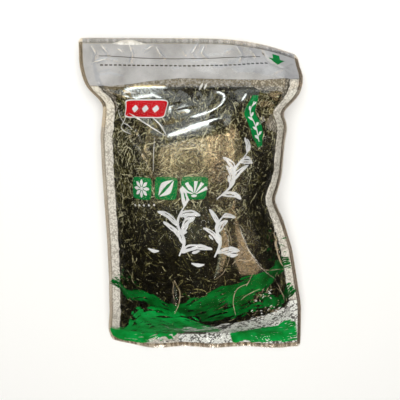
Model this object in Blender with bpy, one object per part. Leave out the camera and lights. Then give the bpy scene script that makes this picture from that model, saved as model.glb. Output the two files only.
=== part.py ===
"""A clear, zip-topped pouch filled with shredded nori, lying on its back.

Metres, +Z up. The pouch lies along Y with its header towards +Y and its printed front
facing up. The origin is under the middle of the pouch, on the surface it rests on.
The front and back webs of film meet in flat seals, with a small gap where they are welded.
Between them lie the two halves of the press-to-close zip and the matted bulk of nori,
a pillow of shreds that shows each shred wider than life.
"""

import math

import bmesh
import bpy
import numpy as np

MM = 0.001

# The film
POUCH_WIDTH = 190 * MM
FILM_THICKNESS = 0.4 * MM
WELD_GAP = 0.3 * MM
SIDE_SEAL = 10 * MM
BOTTOM_EDGE, BOTTOM_SEAL_END, TOP_EDGE = -144.7 * MM, -127.5 * MM, 144.7 * MM
CORNER_CUT = 2 * MM

# How far the fill lifts the front web and lowers the back web from the side seals
FRONT_RISE = 37 * MM
BACK_DROP, BACK_POWER = 33 * MM, 0.8
ARC_HALF_ANGLE = 1.05
FILL_FOOT = 50 * MM
FILL_SLOPE_START, FILL_SLOPE_END = 32 * MM, 103.5 * MM
FLOOR_EASE = 2.5 * MM

# Plan outline of the outer edges of the side seals: height up the pouch, then distance from its middle
LEFT_EDGE = [
    (-144.7, -84), (-131, -86), (-114, -84), (-100, -82), (-69, -81), (-33, -81), (0, -82), (31, -83),
    (63, -83), (77, -81), (88, -80), (93, -82), (99, -89), (104, -94), (114, -98), (124, -100), (144.7, -100),
]
RIGHT_EDGE = [
    (-144.7, 101.2), (-130, 100.5), (-114, 99), (-95, 97), (-69, 92), (-39, 86), (-12, 77), (3, 69), (10.5, 66),
    (18, 69), (31, 72), (58, 73.5), (72, 75), (78, 73), (83.5, 70), (90, 77), (97, 85), (104, 89), (114, 90),
    (124, 89), (134, 88), (144.7, 87),
]

# Height of the side seals above the surface: height up the pouch, then height of the seal
LEFT_SEAM = [(-144.7, 5), (-127.5, 9), (-95, 21), (-40, 24), (30, 25), (75, 27), (100, 23), (125, 19), (144.7, 18)]
RIGHT_SEAM = [
    (-144.7, 5), (-127.5, 9), (-95, 20), (-50, 22), (-12, 23), (10.5, 30), (32, 26), (60, 26), (83.5, 31),
    (100, 24), (120, 17), (144.7, 9),
]
RIGHT_SEAL_TURN = [(-12, 0), (10.5, 0.3), (32, 0.45), (60, 0.45), (83.5, 0.3), (100, 0)]

# The top edge bends down towards the surface on the right, and the bottom left corner curls up
TOP_BEND, TOP_BEND_POWER = 14 * MM, 2.6
TOP_BEND_DROP = 3 * MM
CORNER_CURL, CORNER_CURL_START = 7 * MM, 0.55
BOTTOM_CURL_START, BOTTOM_RIPPLE = -104 * MM, 1.6 * MM
SEAL_DROOP = 0.12

# Main folds of the front web: both ends, the height of the ridge (less than 0 for a valley) and its half width
FRONT_FOLDS = [
    ((-66, 92), (-44, 68), 2.2, 13),
    ((-44, 68), (14, 84), -2.4, 14),
    ((8, 84), (8, 22), 1.6, 15),
    ((66, 10), (44, 14), -2.6, 13),
    ((66, 10), (78, -62), -2.4, 12),
    ((70, 84), (40, 66), -2.6, 14),
    ((40, 12), (62, -62), 2.2, 14),
    ((-60, 60), (-36, 6), 1.8, 14),
]

# The zip: two strips, one with a rib and one with the groove that the rib snaps into
ZIP_Y = 108 * MM
ZIP_BASE_WIDTH, ZIP_BASE = 7 * MM, 0.5 * MM
ZIP_HALF_OPENING = 2.4 * MM
ZIP_REACH, ZIP_FADE = 0.9, 0.93
ZIP_FADE_BELOW, ZIP_FADE_ABOVE = 20 * MM, 27 * MM
RIB_NECK, RIB_HEAD, RIB_HEAD_HEIGHT = 0.35 * MM, 0.9 * MM, 1.0 * MM
JAW_INSIDE, JAW_OUTSIDE, JAW_HOOK, JAW_HEIGHT = 1.25 * MM, 1.8 * MM, 0.7 * MM, 2.4 * MM
HOOK_DEPTH = 0.65 * MM
ZIP_CLEARANCE = 0.35 * MM

# The nori: a matted core and the shreds that stand out of it
NORI_CLEARANCE = 4.9 * MM
NORI_RIM = 0.22
CORE_ACROSS = [-1, -0.84, -0.6, -0.3, 0, 0.3, 0.6, 0.84, 1]
CORE_ALONG = [-117, -102, -84, -62, -40, -18, -2, 10.5, 23, 45, 66, 81, 91]
NORI_FOOT, NORI_TOP = CORE_ALONG[0] * MM, CORE_ALONG[-1] * MM
SHREDS_FRONT, SHREDS_BACK = 112, 40
SHRED_WIDTH = 4.0 * MM
SHRED_LENGTH = (30 * MM, 46 * MM)
SHRED_SUNK = 2.2 * MM
SHRED_PROUD = (0.7 * MM, 2.2 * MM)
CORE_ROUGHNESS = 1.0 * MM
SHRED_BEND = 0.12
SEED = 20

# Grid lines of the film, as shares of the half width between the seals and as heights up the pouch
ACROSS = [-1, -0.93, -0.82, -0.66, -0.48, -0.3, -0.1, 0.1, 0.3, 0.48, 0.66, 0.82, 0.93, 1]
ALONG = [
    -144.7, -127.5, -120, -111, -100, -86, -72, -58, -44, -30, -16, -4, 4, 10.5, 18, 30, 44, 57, 67, 75,
    83.5, 90, 97, 104, 112, 121, 130, 139, 144.7,
]


def stations(table, y):
    """Straight lines through a table given in millimetres, with its corners eased over 3 mm each way."""
    heights, values = np.array(table).T * MM
    ease = 3 * MM
    return sum(np.interp(y + shift, heights, values) for shift in (-ease, 0, ease)) / 3


def eased(t):
    """0 to 1 with level ends."""
    t = np.clip(t, 0, 1)
    return t * t * (3 - 2 * t)


def fill(y):
    """Share of the full thickness at a height up the pouch: a quarter sine up from the bottom seal, and another
    down to the zip."""
    foot = np.sin(math.pi / 2 * np.clip((y - BOTTOM_SEAL_END) / FILL_FOOT, 0, 1))
    slope = np.clip((y - FILL_SLOPE_START) / (FILL_SLOPE_END - FILL_SLOPE_START), 0, 1)
    return foot * np.cos(math.pi / 2 * slope)


def zip_opening(s, y):
    """Half the distance that the zip holds the webs apart, which fades into the seals round it."""
    half_base = ZIP_BASE_WIDTH / 2
    up = eased((y - ZIP_Y + half_base) / ZIP_FADE_BELOW + 1) * (1 - eased((y - ZIP_Y - half_base) / ZIP_FADE_ABOVE))
    across = 1 - eased((np.abs(s) - ZIP_FADE) / (1 - ZIP_FADE))
    return ZIP_HALF_OPENING * up * across


def fold_height(x, y):
    """The folds of the front web: each a ridge or valley with straight flanks along a line."""
    total = np.zeros_like(x)
    for start, end, height, reach in FRONT_FOLDS:
        a, b = np.array(start) * MM, np.array(end) * MM
        along = b - a
        share = ((x - a[0]) * along[0] + (y - a[1]) * along[1]) / (along @ along)
        share = np.clip(share, 0, 1)
        distance = np.hypot(x - a[0] - share * along[0], y - a[1] - share * along[1])
        total = total + height * MM * np.clip(1 - distance / (reach * MM), 0, 1)
    return total


def seam_point(s, y):
    """A point on the surface that both webs share in the seals, and that lies between them elsewhere.

    s runs from -1 to 1 between the inner edges of the side seals and further out to their outer edges,
    and y is the height up the pouch. Between the seals equal steps of s are equal lengths of bulging film.
    The right seal turns up by the share in RIGHT_SEAL_TURN, and the top edge bends down on the right.
    """
    inside = np.clip(s, -1, 1)
    outward = np.maximum(np.abs(s) - 1, 0) / (edge_share() - 1) * SIDE_SEAL
    turn = np.where(s > 0, stations(RIGHT_SEAL_TURN, y) / MM, 0)
    left = stations(LEFT_EDGE, y) + SIDE_SEAL
    right = stations(RIGHT_EDGE, y) - SIDE_SEAL * (1 - turn)
    across = np.sin(arc_angle(y) * inside) / np.sin(arc_angle(y))
    x = (left + right) / 2 + (right - left) / 2 * across
    x = x + np.sign(s) * outward * (1 - turn)

    z = stations(LEFT_SEAM, y) * (1 - inside) / 2 + stations(RIGHT_SEAM, y) * (1 + inside) / 2
    z = z + outward * (np.sqrt(1 - (1 - turn) ** 2) - SEAL_DROOP * (1 - turn))
    to_bottom = eased((BOTTOM_CURL_START - y) / (BOTTOM_CURL_START - BOTTOM_EDGE))
    z = z + BOTTOM_RIPPLE * np.sin(9 * inside + 0.6) * to_bottom

    to_top = eased((y - ZIP_Y) / (TOP_EDGE - ZIP_Y))
    to_right = np.maximum(s / edge_share(), 0) ** TOP_BEND_POWER
    to_corner = np.maximum(-s / edge_share() - CORNER_CURL_START, 0) / (1 - CORNER_CURL_START)
    z = z - TOP_BEND_DROP * to_right * to_top
    y = y - TOP_BEND * to_right * to_top + CORNER_CURL * to_corner**1.5 * to_bottom
    return np.stack([x, y, z], axis=-1)


def arc_angle(y):
    """Half the angle of the arc that the film makes across the pouch, which grows with the fill."""
    return ARC_HALF_ANGLE * np.sqrt(fill(y)) + 0.02


def web_point(s, y, side, folded=True):
    """A point on the middle of a web of film. side is 1 for the front web and -1 for the back one.

    Each web stands off the seam surface by half the weld's thickness, or half the zip's opening. Between the
    seals it also rises or falls by a circular arc times the fill, and the back web is pressed flat where it
    meets the surface.
    """
    s, y = np.broadcast_arrays(np.asarray(s, float), np.asarray(y, float))
    share, angle = fill(y), arc_angle(y)
    inside = np.clip(s, -1, 1)
    arc = (np.cos(angle * inside) - np.cos(angle)) / (1 - np.cos(angle))
    spread = (FILM_THICKNESS + WELD_GAP) / 2 + zip_opening(s, y)
    point = seam_point(s, y) + side * spread[..., None] * surface_normal(seam_point, s, y)
    if side > 0:
        shaping = eased(share * 1.6) * eased((1 - np.abs(inside)) * 5)
        point[..., 2] += FRONT_RISE * share * arc
        point[..., 2] += folded * fold_height(point[..., 0], point[..., 1]) * shaping
    else:
        low = point[..., 2] - BACK_DROP * share**BACK_POWER * arc - FILM_THICKNESS / 2
        on_floor = np.where(low < -FLOOR_EASE, 0, (low + FLOOR_EASE) ** 2 / (4 * FLOOR_EASE))
        point[..., 2] = np.where(low > FLOOR_EASE, low, on_floor) + FILM_THICKNESS / 2
    return point


def edge_share():
    """s at the outer edge of the side seals."""
    return POUCH_WIDTH / (POUCH_WIDTH - 2 * SIDE_SEAL)


def surface_normal(point_at, s, y, *rest):
    """The upward normal of a surface given by a function of s and y, from small steps along it."""
    ds, dy = 0.01, 1 * MM
    across = point_at(s + ds, y, *rest) - point_at(s - ds, y, *rest)
    along = point_at(s, y + dy, *rest) - point_at(s, y - dy, *rest)
    normal = np.cross(across, along)
    return normal / np.linalg.norm(normal, axis=-1, keepdims=True)


def web_grid(across, along, side, offset):
    """Points of the web on a grid, moved by offset along the upward normal."""
    s, y = np.meshgrid(across, along)
    return web_point(s, y, side) + offset * surface_normal(web_point, s, y, side)


def slab(name, top, bottom, material):
    """A closed solid between two grids of points with the same rows and columns, each square of both grids split
    along the same diagonal."""
    rows, columns = top.shape[:2]
    count = rows * columns
    number = np.arange(count).reshape(rows, columns)
    a, b, c, d = number[:-1, :-1], number[:-1, 1:], number[1:, 1:], number[1:, :-1]
    faces = np.concatenate([np.stack(corners, axis=-1).reshape(-1, 3) for corners in ((a, b, c), (a, c, d))])
    rim = np.concatenate([number[0, :-1], number[:-1, -1], number[-1, :0:-1], number[:0:-1, 0]])
    ahead = np.roll(rim, -1)
    wall = np.stack([rim + count, ahead + count, ahead, rim], axis=-1)
    points = np.concatenate([top.reshape(-1, 3), bottom.reshape(-1, 3)])
    mesh = bpy.data.meshes.new(name)
    mesh.from_pydata(points.tolist(), [], (faces.tolist() + (faces[:, ::-1] + count).tolist() + wall.tolist()))
    mesh.validate()
    solid = bpy.data.objects.new(name, mesh)
    solid.data.materials.append(material)
    bpy.context.scene.collection.objects.link(solid)
    return solid


def finish(name, colour, roughness, alpha=1.0):
    """A Principled material for one sub-part."""
    material = bpy.data.materials.new(name)
    material.use_nodes = True
    shader = material.node_tree.nodes["Principled BSDF"]
    shader.inputs["Base Color"].default_value = (*colour, 1)
    shader.inputs["Roughness"].default_value = roughness
    shader.inputs["Metallic"].default_value = 0
    shader.inputs["Alpha"].default_value = alpha
    return material


def cut_corners(grid):
    """Draws the four corners of a sheet inwards, as the rounded corners of the pouch."""
    for row, next_row in ((0, 1), (-1, -2)):
        for column, next_column in ((0, 1), (-1, -2)):
            corner = grid[row, column]
            inward = grid[next_row, column] + grid[row, next_column] - 2 * corner
            grid[row, column] = corner + CORNER_CUT * inward / np.linalg.norm(inward)
    return grid


def make_film(name, side, material):
    """One web of the pouch, out to the edges of its seals."""
    across = np.array([-edge_share(), *ACROSS, edge_share()])
    along = np.array(ALONG) * MM
    half = FILM_THICKNESS / 2
    top = cut_corners(web_grid(across, along, side, half))
    bottom = cut_corners(web_grid(across, along, side, -half))
    return slab(name, top, bottom, material)


def sweep_profile(name, profile, material):
    """A strip across the pouch at the zip's height. Its profile is given as distances up the pouch from the zip's
    centre line and off the middle between the webs."""
    from_middle, rise = np.array(profile).T
    across, along = np.meshgrid(np.linspace(-ZIP_REACH, ZIP_REACH, 15), ZIP_Y + from_middle, indexing="ij")
    rings = (web_point(across, along, 1, folded=False) + web_point(across, along, -1)) / 2
    rings[..., 2] += rise
    count, sides = rings.shape[:2]
    number = np.arange(count * sides).reshape(count, sides)
    ahead = np.roll(number, -1, axis=1)
    walls = np.stack([number[:-1], ahead[:-1], ahead[1:], number[1:]], axis=-1).reshape(-1, 4)
    faces = walls.tolist() + [number[0, ::-1].tolist(), number[-1].tolist()]
    mesh = bpy.data.meshes.new(name)
    mesh.from_pydata(rings.reshape(-1, 3).tolist(), [], faces)
    mesh.validate()
    strip = bpy.data.objects.new(name, mesh)
    strip.data.materials.append(material)
    bpy.context.scene.collection.objects.link(strip)
    return strip


def make_zip(material):
    """The groove on the back web and the rib on the front web, snapped together with a little play."""
    half_base = ZIP_BASE_WIDTH / 2
    outer = ZIP_HALF_OPENING + WELD_GAP / 2 - ZIP_CLEARANCE
    floor = -outer + ZIP_BASE
    hook_low, hook_top = floor + JAW_HEIGHT - HOOK_DEPTH, floor + JAW_HEIGHT
    right_jaw = [
        (half_base, -outer), (half_base, floor), (JAW_OUTSIDE, floor), (JAW_OUTSIDE, hook_top),
        (JAW_HOOK, hook_top), (JAW_HOOK, hook_low), (JAW_INSIDE, hook_low), (JAW_INSIDE, floor),
    ]
    left_jaw = [(-y, z) for y, z in reversed(right_jaw)]
    sweep_profile("zip_groove", right_jaw + left_jaw, material)

    ceiling = outer - ZIP_BASE
    head_top = hook_low - ZIP_CLEARANCE
    head_foot = head_top - RIB_HEAD_HEIGHT
    right_rib = [
        (RIB_NECK, head_foot), (RIB_HEAD, head_top), (RIB_NECK, head_top), (RIB_NECK, ceiling),
        (half_base, ceiling), (half_base, outer),
    ]
    left_rib = [(-y, z) for y, z in reversed(right_rib)]
    sweep_profile("zip_rib", right_rib + left_rib, material)


def nori_reach(y):
    """s at the rim of the nori, where the webs are still far enough apart for it."""
    return np.sqrt(np.clip(1 - NORI_RIM / np.maximum(fill(y), 0.1) ** 0.9, 0, 1))


def nori_surface(s, y, side):
    """The smooth outer surface of the nori, inside the film before it is folded, and its outward normal."""
    outward = side * surface_normal(web_point, s, y, side, False)
    inset = NORI_CLEARANCE + FILM_THICKNESS / 2
    return web_point(s, y, side, folded=False) - inset * outward, outward


def shred_centres(count, rng):
    """Even places over one side of the nori, in the film's flat measure: of several random tries, each shred
    takes the one furthest from those before it."""
    half_width = POUCH_WIDTH / 2 - SIDE_SEAL
    low = np.array([-half_width, NORI_FOOT])
    high = np.array([half_width, NORI_TOP])
    placed = []
    while len(placed) < count:
        tries = rng.uniform(low, high, (40, 2))
        tries = tries[np.abs(tries[:, 0]) < half_width * nori_reach(tries[:, 1])]
        if placed:
            nearest = np.linalg.norm(tries[:, None] - np.array(placed)[None], axis=-1).min(axis=1)
            placed.append(tries[nearest.argmax()])
        else:
            placed.append(tries[0])
    return placed


def make_shred(centre, side, rng, material):
    """One flat shred: three stations along a bent line in the film's flat measure, slid back inside the rim of the
    nori, then laid on its surface with the underside sunk in it."""
    half_width = POUCH_WIDTH / 2 - SIDE_SEAL
    heading = rng.uniform(0, math.pi)
    length = rng.uniform(*SHRED_LENGTH)
    bend = rng.normal(0, SHRED_BEND)
    proud = rng.uniform(*SHRED_PROUD)
    ahead = np.array([math.cos(heading), math.sin(heading)])
    aside = np.array([-ahead[1], ahead[0]])
    flat = np.array([centre + ahead * length * k / 2 + aside * length * bend * k * k for k in (-1, 0, 1)])
    flat[:, 1] += max(0, NORI_FOOT - flat[:, 1].min()) - max(0, flat[:, 1].max() - NORI_TOP)
    outside = np.maximum(np.abs(flat[:, 0]) - half_width * nori_reach(flat[:, 1]), 0) * np.sign(flat[:, 0])
    flat[:, 0] -= outside[np.abs(outside).argmax()]
    surface, outward = nori_surface(flat[:, 0] / half_width, flat[:, 1], side)
    along = np.gradient(surface, axis=0)
    sideways = np.cross(outward, along)
    sideways *= SHRED_WIDTH / 2 / np.linalg.norm(sideways, axis=-1, keepdims=True)
    upper, lower = surface + outward * proud, surface - outward * SHRED_SUNK
    top = np.stack([upper + sideways, upper - sideways], axis=1)
    bottom = np.stack([lower + sideways, lower - sideways], axis=1)
    return slab("shred", top, bottom, material)


def keep_outer_surface(mesh):
    """Fills the hollows that crossing shreds seal and drops loose scraps: only the largest joined surface stays."""
    work = bmesh.new()
    work.from_mesh(mesh)
    unseen = set(work.faces)
    surfaces = []
    while unseen:
        joined, waiting = set(), [unseen.pop()]
        while waiting:
            face = waiting.pop()
            joined.add(face)
            for edge in face.edges:
                for other in edge.link_faces:
                    if other in unseen:
                        unseen.remove(other)
                        waiting.append(other)
        surfaces.append(joined)
    surfaces.sort(key=len)
    for joined in surfaces[:-1]:
        bmesh.ops.delete(work, geom=list(joined), context="FACES")
    work.to_mesh(mesh)
    work.free()


def make_nori(material):
    """The bulk of the nori: a core that fills the pouch and the shreds standing out of both its sides, in one solid."""
    share, along = np.meshgrid(CORE_ACROSS, np.array(CORE_ALONG) * MM)
    across = share * nori_reach(along)
    rng = np.random.default_rng(SEED)
    sheets = []
    for side in (1, -1):
        surface, outward = nori_surface(across, along, side)
        sheets.append(surface - outward * rng.uniform(0, CORE_ROUGHNESS, across.shape)[..., None])
    core = slab("nori", *sheets, material)
    shreds = bpy.data.collections.new("shreds")
    bpy.context.scene.collection.children.link(shreds)
    for side, count in ((1, SHREDS_FRONT), (-1, SHREDS_BACK)):
        for centre in shred_centres(count, rng):
            shred = make_shred(centre, side, rng, material)
            bpy.context.scene.collection.objects.unlink(shred)
            shreds.objects.link(shred)
    join = core.modifiers.new("join shreds", "BOOLEAN")
    join.operation = "UNION"
    join.operand_type = "COLLECTION"
    join.collection = shreds
    join.solver = "MANIFOLD"
    bpy.context.view_layer.objects.active = core
    bpy.ops.object.modifier_apply(modifier=join.name)
    for shred in list(shreds.objects):
        bpy.data.objects.remove(shred)
    bpy.data.collections.remove(shreds)
    keep_outer_surface(core.data)
    return core


def main():
    for thing in list(bpy.data.objects):
        bpy.data.objects.remove(thing)
    film = finish("clear film", (0.80, 0.80, 0.78), 0.08, alpha=0.35)
    zip_plastic = finish("zip plastic", (0.86, 0.86, 0.84), 0.3)
    seaweed = finish("roasted nori", (0.030, 0.028, 0.016), 0.6)
    make_film("film_front", 1, film)
    make_film("film_back", -1, film)
    make_zip(zip_plastic)
    make_nori(seaweed)


main()
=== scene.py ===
"""Clear zip pouch of shredded nori, lying on its back on a pale floor.

Metres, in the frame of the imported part: X across the pouch, Y from its foot to its header, Z up.
Places on the film are given flat, as they were before the pouch was filled: f across from its
middle and y up its length. Tables are in millimetres.
"""

import itertools
import math

import bpy
import numpy as np
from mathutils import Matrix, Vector


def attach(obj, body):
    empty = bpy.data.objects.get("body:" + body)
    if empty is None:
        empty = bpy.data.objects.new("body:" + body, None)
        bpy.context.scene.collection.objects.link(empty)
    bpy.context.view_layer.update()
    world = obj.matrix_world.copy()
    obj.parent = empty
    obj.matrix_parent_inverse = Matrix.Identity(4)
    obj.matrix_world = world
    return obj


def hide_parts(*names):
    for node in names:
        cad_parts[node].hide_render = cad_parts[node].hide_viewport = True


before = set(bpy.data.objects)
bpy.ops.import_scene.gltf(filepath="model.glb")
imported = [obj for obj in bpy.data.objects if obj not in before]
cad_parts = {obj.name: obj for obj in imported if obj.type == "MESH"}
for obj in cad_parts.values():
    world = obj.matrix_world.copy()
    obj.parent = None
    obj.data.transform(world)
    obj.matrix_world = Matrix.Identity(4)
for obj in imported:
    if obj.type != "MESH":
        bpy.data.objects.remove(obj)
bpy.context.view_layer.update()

MM = 0.001

# The pouch, as in the part
POUCH_WIDTH = 190 * MM
SIDE_SEAL = 10 * MM
HALF_FLAT = POUCH_WIDTH / 2
HALF_INSIDE = HALF_FLAT - SIDE_SEAL
EDGE_SHARE = HALF_FLAT / HALF_INSIDE
WEB_SPACING = 0.7 * MM
CAD_FILM = 0.4 * MM
BOTTOM_EDGE, BOTTOM_SEAL_END, TOP_EDGE = -144.7 * MM, -127.5 * MM, 144.7 * MM
CORNER_RADIUS = 3 * MM
FRONT_RISE = 37 * MM
BACK_DROP, BACK_POWER = 33 * MM, 0.8
ARC_HALF_ANGLE, LEAST_ARC = 1.05, 0.02
FILL_FOOT = 50 * MM
FILL_SLOPE_START, FILL_SLOPE_END = 32 * MM, 103.5 * MM
FLOOR_EASE = 2.5 * MM
LEFT_EDGE = [
    (-144.7, -84), (-131, -86), (-114, -84), (-100, -82), (-69, -81), (-33, -81), (0, -82), (31, -83),
    (63, -83), (77, -81), (88, -80), (93, -82), (99, -89), (104, -94), (114, -98), (124, -100),
    (144.7, -100),
]
RIGHT_EDGE = [
    (-144.7, 101.2), (-130, 100.5), (-114, 99), (-95, 97), (-69, 92), (-39, 86), (-12, 77), (3, 69),
    (10.5, 66), (18, 69), (31, 72), (58, 73.5), (72, 75), (78, 73), (83.5, 70), (90, 77), (97, 85),
    (104, 89), (114, 90), (124, 89), (134, 88), (144.7, 87),
]
LEFT_SEAM = [
    (-144.7, 5), (-127.5, 9), (-95, 21), (-40, 24), (30, 25), (75, 27), (100, 23), (125, 19), (144.7, 18),
]
RIGHT_SEAM = [
    (-144.7, 5), (-127.5, 9), (-95, 20), (-50, 22), (-12, 23), (10.5, 30), (32, 26), (60, 26), (83.5, 31),
    (100, 24), (120, 17), (144.7, 9),
]
RIGHT_SEAL_TURN = [(-12, 0), (10.5, 0.3), (32, 0.45), (60, 0.45), (83.5, 0.3), (100, 0)]
TOP_BEND, TOP_BEND_POWER, TOP_BEND_DROP = 14 * MM, 2.6, 3 * MM
CORNER_CURL, CORNER_CURL_START, CORNER_CURL_POWER = 7 * MM, 0.55, 1.5
BOTTOM_CURL_START = -104 * MM
BOTTOM_RIPPLE, RIPPLE_RATE, RIPPLE_START = 1.6 * MM, 9, 0.6
SEAL_DROOP = 0.12
ZIP_Y, ZIP_BASE_WIDTH, ZIP_HALF_OPENING = 108 * MM, 7 * MM, 2.4 * MM
ZIP_FADE, ZIP_FADE_BELOW, ZIP_FADE_ABOVE = 0.93, 20 * MM, 27 * MM
FRONT_FOLDS = [
    ((-66, 92), (-44, 68), 2.2, 13),
    ((-44, 68), (14, 84), -2.4, 14),
    ((8, 84), (8, 22), 1.6, 15),
    ((66, 10), (44, 14), -2.6, 13),
    ((66, 10), (78, -62), -2.4, 12),
    ((70, 84), (40, 66), -2.6, 14),
    ((40, 12), (62, -62), 2.2, 14),
    ((-60, 60), (-36, 6), 1.8, 14),
]

# How fast the main folds grow as the fill does, and inwards from the side seals
FOLD_FILL_RATE, FOLD_SIDE_RATE = 1.6, 5

# The film here: its thickness, and the rows and columns of its two webs
FILM = 0.46 * MM
FRONT_GRID, BACK_GRID = (264, 181), (138, 95)

# Creases of the front web, flat: height of the ridge (less than 0 for a valley), half width, points
CREASES = [
    (0.9, 2.6, [(-78, 86), (-74, 80), (-67, 73)]),
    (0.8, 2.4, [(-62, 75), (-56, 70), (-52, 66)]),
    (0.9, 2.6, [(-61, 82), (-52, 78), (-43, 74), (-36, 70)]),
    (1.1, 3.0, [(-40, 80), (-33, 75), (-24, 67)]),
    (0.8, 2.4, [(-8, 103), (-6, 95), (2, 101)]),
    (0.7, 2.6, [(-30, 95), (-24, 88), (-14, 90)]),
    (1.2, 5.0, [(-71, 73), (-58, 61), (-45, 50), (-36, 44)]),
    (1.0, 4.0, [(-42, 76), (-41, 60), (-44, 46)]),
    (1.5, 2.4, [(84, -6), (81, -17), (77.5, -32), (79, -48.5), (81, -56)]),
    (0.8, 2.6, [(62, 14), (66, 0), (74, -14)]),
    (0.9, 2.8, [(84, -58), (70, -62), (56, -57)]),
    (0.9, 2.6, [(49, -60), (47, -76), (48, -92), (51, -106)]),
    (0.8, 2.6, [(68, -68), (73, -80), (74, -96)]),
    (0.7, 2.4, [(34, -100), (40, -86), (52, -74)]),
    (0.8, 2.6, [(58, 96), (54, 90), (50, 84)]),
    (2.0, 13, [(38, 73), (40, 54), (40, 26)]),
]
CREASE_GAIN, CREASE_POWER = 1.25, 1.6

# Ridges of the front web with nearly straight flanks, as above
ARCS = [
    (0.6, 3.2, [(-25, 66.5), (-13, 70), (-2, 73.5), (8, 76), (20, 78.5), (30, 80.5), (36, 80)]),
    (0.4, 2.6, [(-10, 74), (2, 79), (13, 83), (21, 87), (26, 92), (27, 97), (22, 100.5), (13, 101)]),
    (0.5, 2.6, [(-66, 100), (-57, 102.5), (-43, 103.5), (-28, 103)]),
    (0.7, 2.4, [(-18, 84), (-8, 85.5), (2, 86)]),
    (0.6, 2.2, [(-22, 90), (-21, 84), (-18, 79)]),
    (0.8, 2.0, [(-73, 74), (-66, 70), (-58.5, 66), (-53, 68)]),
    (0.8, 2.0, [(-62, 80), (-52, 75), (-42, 70), (-30, 65)]),
    (0.7, 1.9, [(-46, 79), (-38, 74), (-28, 65)]),
]
ARC_POWER = 1.1

# Small dents in the header, as above
DENTS = [
    (0.7, 2.4, [(-76, 139), (-71, 133), (-68, 128)]),
    (0.6, 2.0, [(-62, 136), (-58, 133)]),
    (0.6, 2.2, [(-29, 137), (-26, 131), (-22, 127)]),
    (0.5, 2.0, [(-8, 136), (-4, 130)]),
    (0.6, 2.2, [(12, 138), (9, 132), (14, 127)]),
    (0.5, 2.2, [(30, 133), (36, 136)]),
    (0.6, 2.0, [(52, 137), (56, 131)]),
    (0.6, 2.0, [(-84, 124), (-72, 127), (-62, 125)]),
    (0.7, 2.2, [(-52, 139), (-49, 131), (-51, 124)]),
    (0.6, 2.0, [(-40, 133), (-33, 138)]),
    (-0.5, 2.4, [(-86, 114), (-70, 117), (-58, 114)]),
    (0.7, 2.2, [(6, 139), (1, 132), (3, 128)]),
    (0.7, 2.0, [(-84, 138), (-80, 131), (-82, 124)]),
    (0.6, 2.0, [(40, 139), (44, 131), (41, 126)]),
    (-0.6, 2.6, [(62, 138), (68, 128), (84, 118)]),
    (0.5, 2.2, [(70, 116), (82, 122), (88, 131)]),
]
DENT_GAIN, DENT_SHINE = 2.2, 0.5

# Patches of the front web: the corners of each, its lift in millimetres, and how much more than the
# rest it mirrors: above 0 where it stands off the nori, and down to -1 where nori pressed to it dulls it
PATCHES = [
    ([(-25, 61), (4, 66), (35.5, 72), (33.5, 62), (34, 30), (9.5, 29.5), (-28.5, 32.5), (-28.5, 52)],
     0, 0.4),
    ([(24, -1.5), (28, -17.5), (27, -25), (16, -49), (8.5, -54), (12.5, -41.5), (17.5, -25), (20.5, -10.5)],
     0.6, 0.6),
    ([(40, 16.5), (42, 3), (41, -10), (43, -28), (54, -51), (41.5, -55), (31, -52.5), (26.5, -40),
      (33.5, -24), (33.5, -13.5), (36.5, 0), (30, 1.5)], 0.6, 0.6),
    ([(-12, 40), (-13, 50), (-8, 56), (4, 55), (9, 48), (6, 40)], 0, -0.24),
    ([(-56, 72), (-38, 56), (-32, 48.5), (-38.5, 49.5), (-50, 61)], 0.5, 0.5),
    ([(-23.5, -56), (-20, -69), (-23.5, -85), (-26, -74)], 0.5, 0.7),
    ([(-24, 67), (-8, 70.5), (8, 76), (28, 80), (36, 80), (35, 77), (20, 74.5), (4, 70), (-20, 64.5)],
     0, 0.1),
    ([(10, 82), (13, 92), (18, 99), (36, 99), (40, 90), (37, 82)], 0, -0.7),
    ([(-24, 62), (4, 67), (30, 71), (30, 68), (4, 64.5), (-24, 59)], 0, -0.9),
    ([(-73, 79), (-73, 95), (-25, 95), (-25, 79)], 0, -0.8),
    ([(-26, 100.5), (-26, 106), (62, 107), (62, 100.5)], 0, -0.6),
    ([(46, 78), (46, 100), (62, 100), (62, 78)], 0, -0.6),
    ([(-36, 9), (-8, 11), (14, 10), (17, 1), (8, -12), (-8, -20), (-26, -12), (-38, -2)], 0, 0.17),
    ([(-67, 98.5), (-57, 105), (-40, 105.5), (-27, 102.5), (-28, 99), (-44, 97.5), (-57, 96)], 0, 0.32),
]
PATCH_BEVEL, SHINE_BEVEL = 1.2, 0.8

# Fine folds of the front web that catch the light: how much more they mirror, half width, points
LINES = [
    (1.2, 3.3, [(-21, 66), (-5.5, 70.5), (2, 74), (16, 77.5), (27, 78)]),
    (1.2, 2.4, [(14, 101), (19, 100), (24.5, 98), (25.5, 94), (23.5, 90), (17, 85.5), (9, 83), (-1, 80.5)]),
    (1.1, 3.6, [(-15, 86), (-9.5, 87), (-3, 84.5)]),
    (1.1, 1.9, [(-19, 91), (-23, 88), (-21.5, 83)]),
    (1.1, 1.9, [(45.5, 97.5), (42, 93)]),
    (1.15, 2.2, [(-65.5, 100.5), (-52, 103.5), (-37, 104), (-24, 103.5)]),
    (1.1, 2.1, [(-68.5, 96.5), (-57, 95), (-39.5, 97.5), (-31.5, 94.5)]),
    (0.9, 1.6, [(87, -4.5), (83, -21.5), (76, -34.5), (78.5, -48), (82, -54.5)]),
    (0.8, 1.4, [(39, -14.5), (41.5, -27), (45.5, -40), (53.5, -49.5), (66.5, -63)]),
    (0.7, 1.5, [(-50, 62), (-44, 52), (-36, 42), (-33, 32)]),
]

# A line's half width at its tips, as a share of that at its middle, and its strength along its own
# middle before that is held to 1
LINE_TIP, LINE_CORE = 0.3, 1.2

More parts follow.
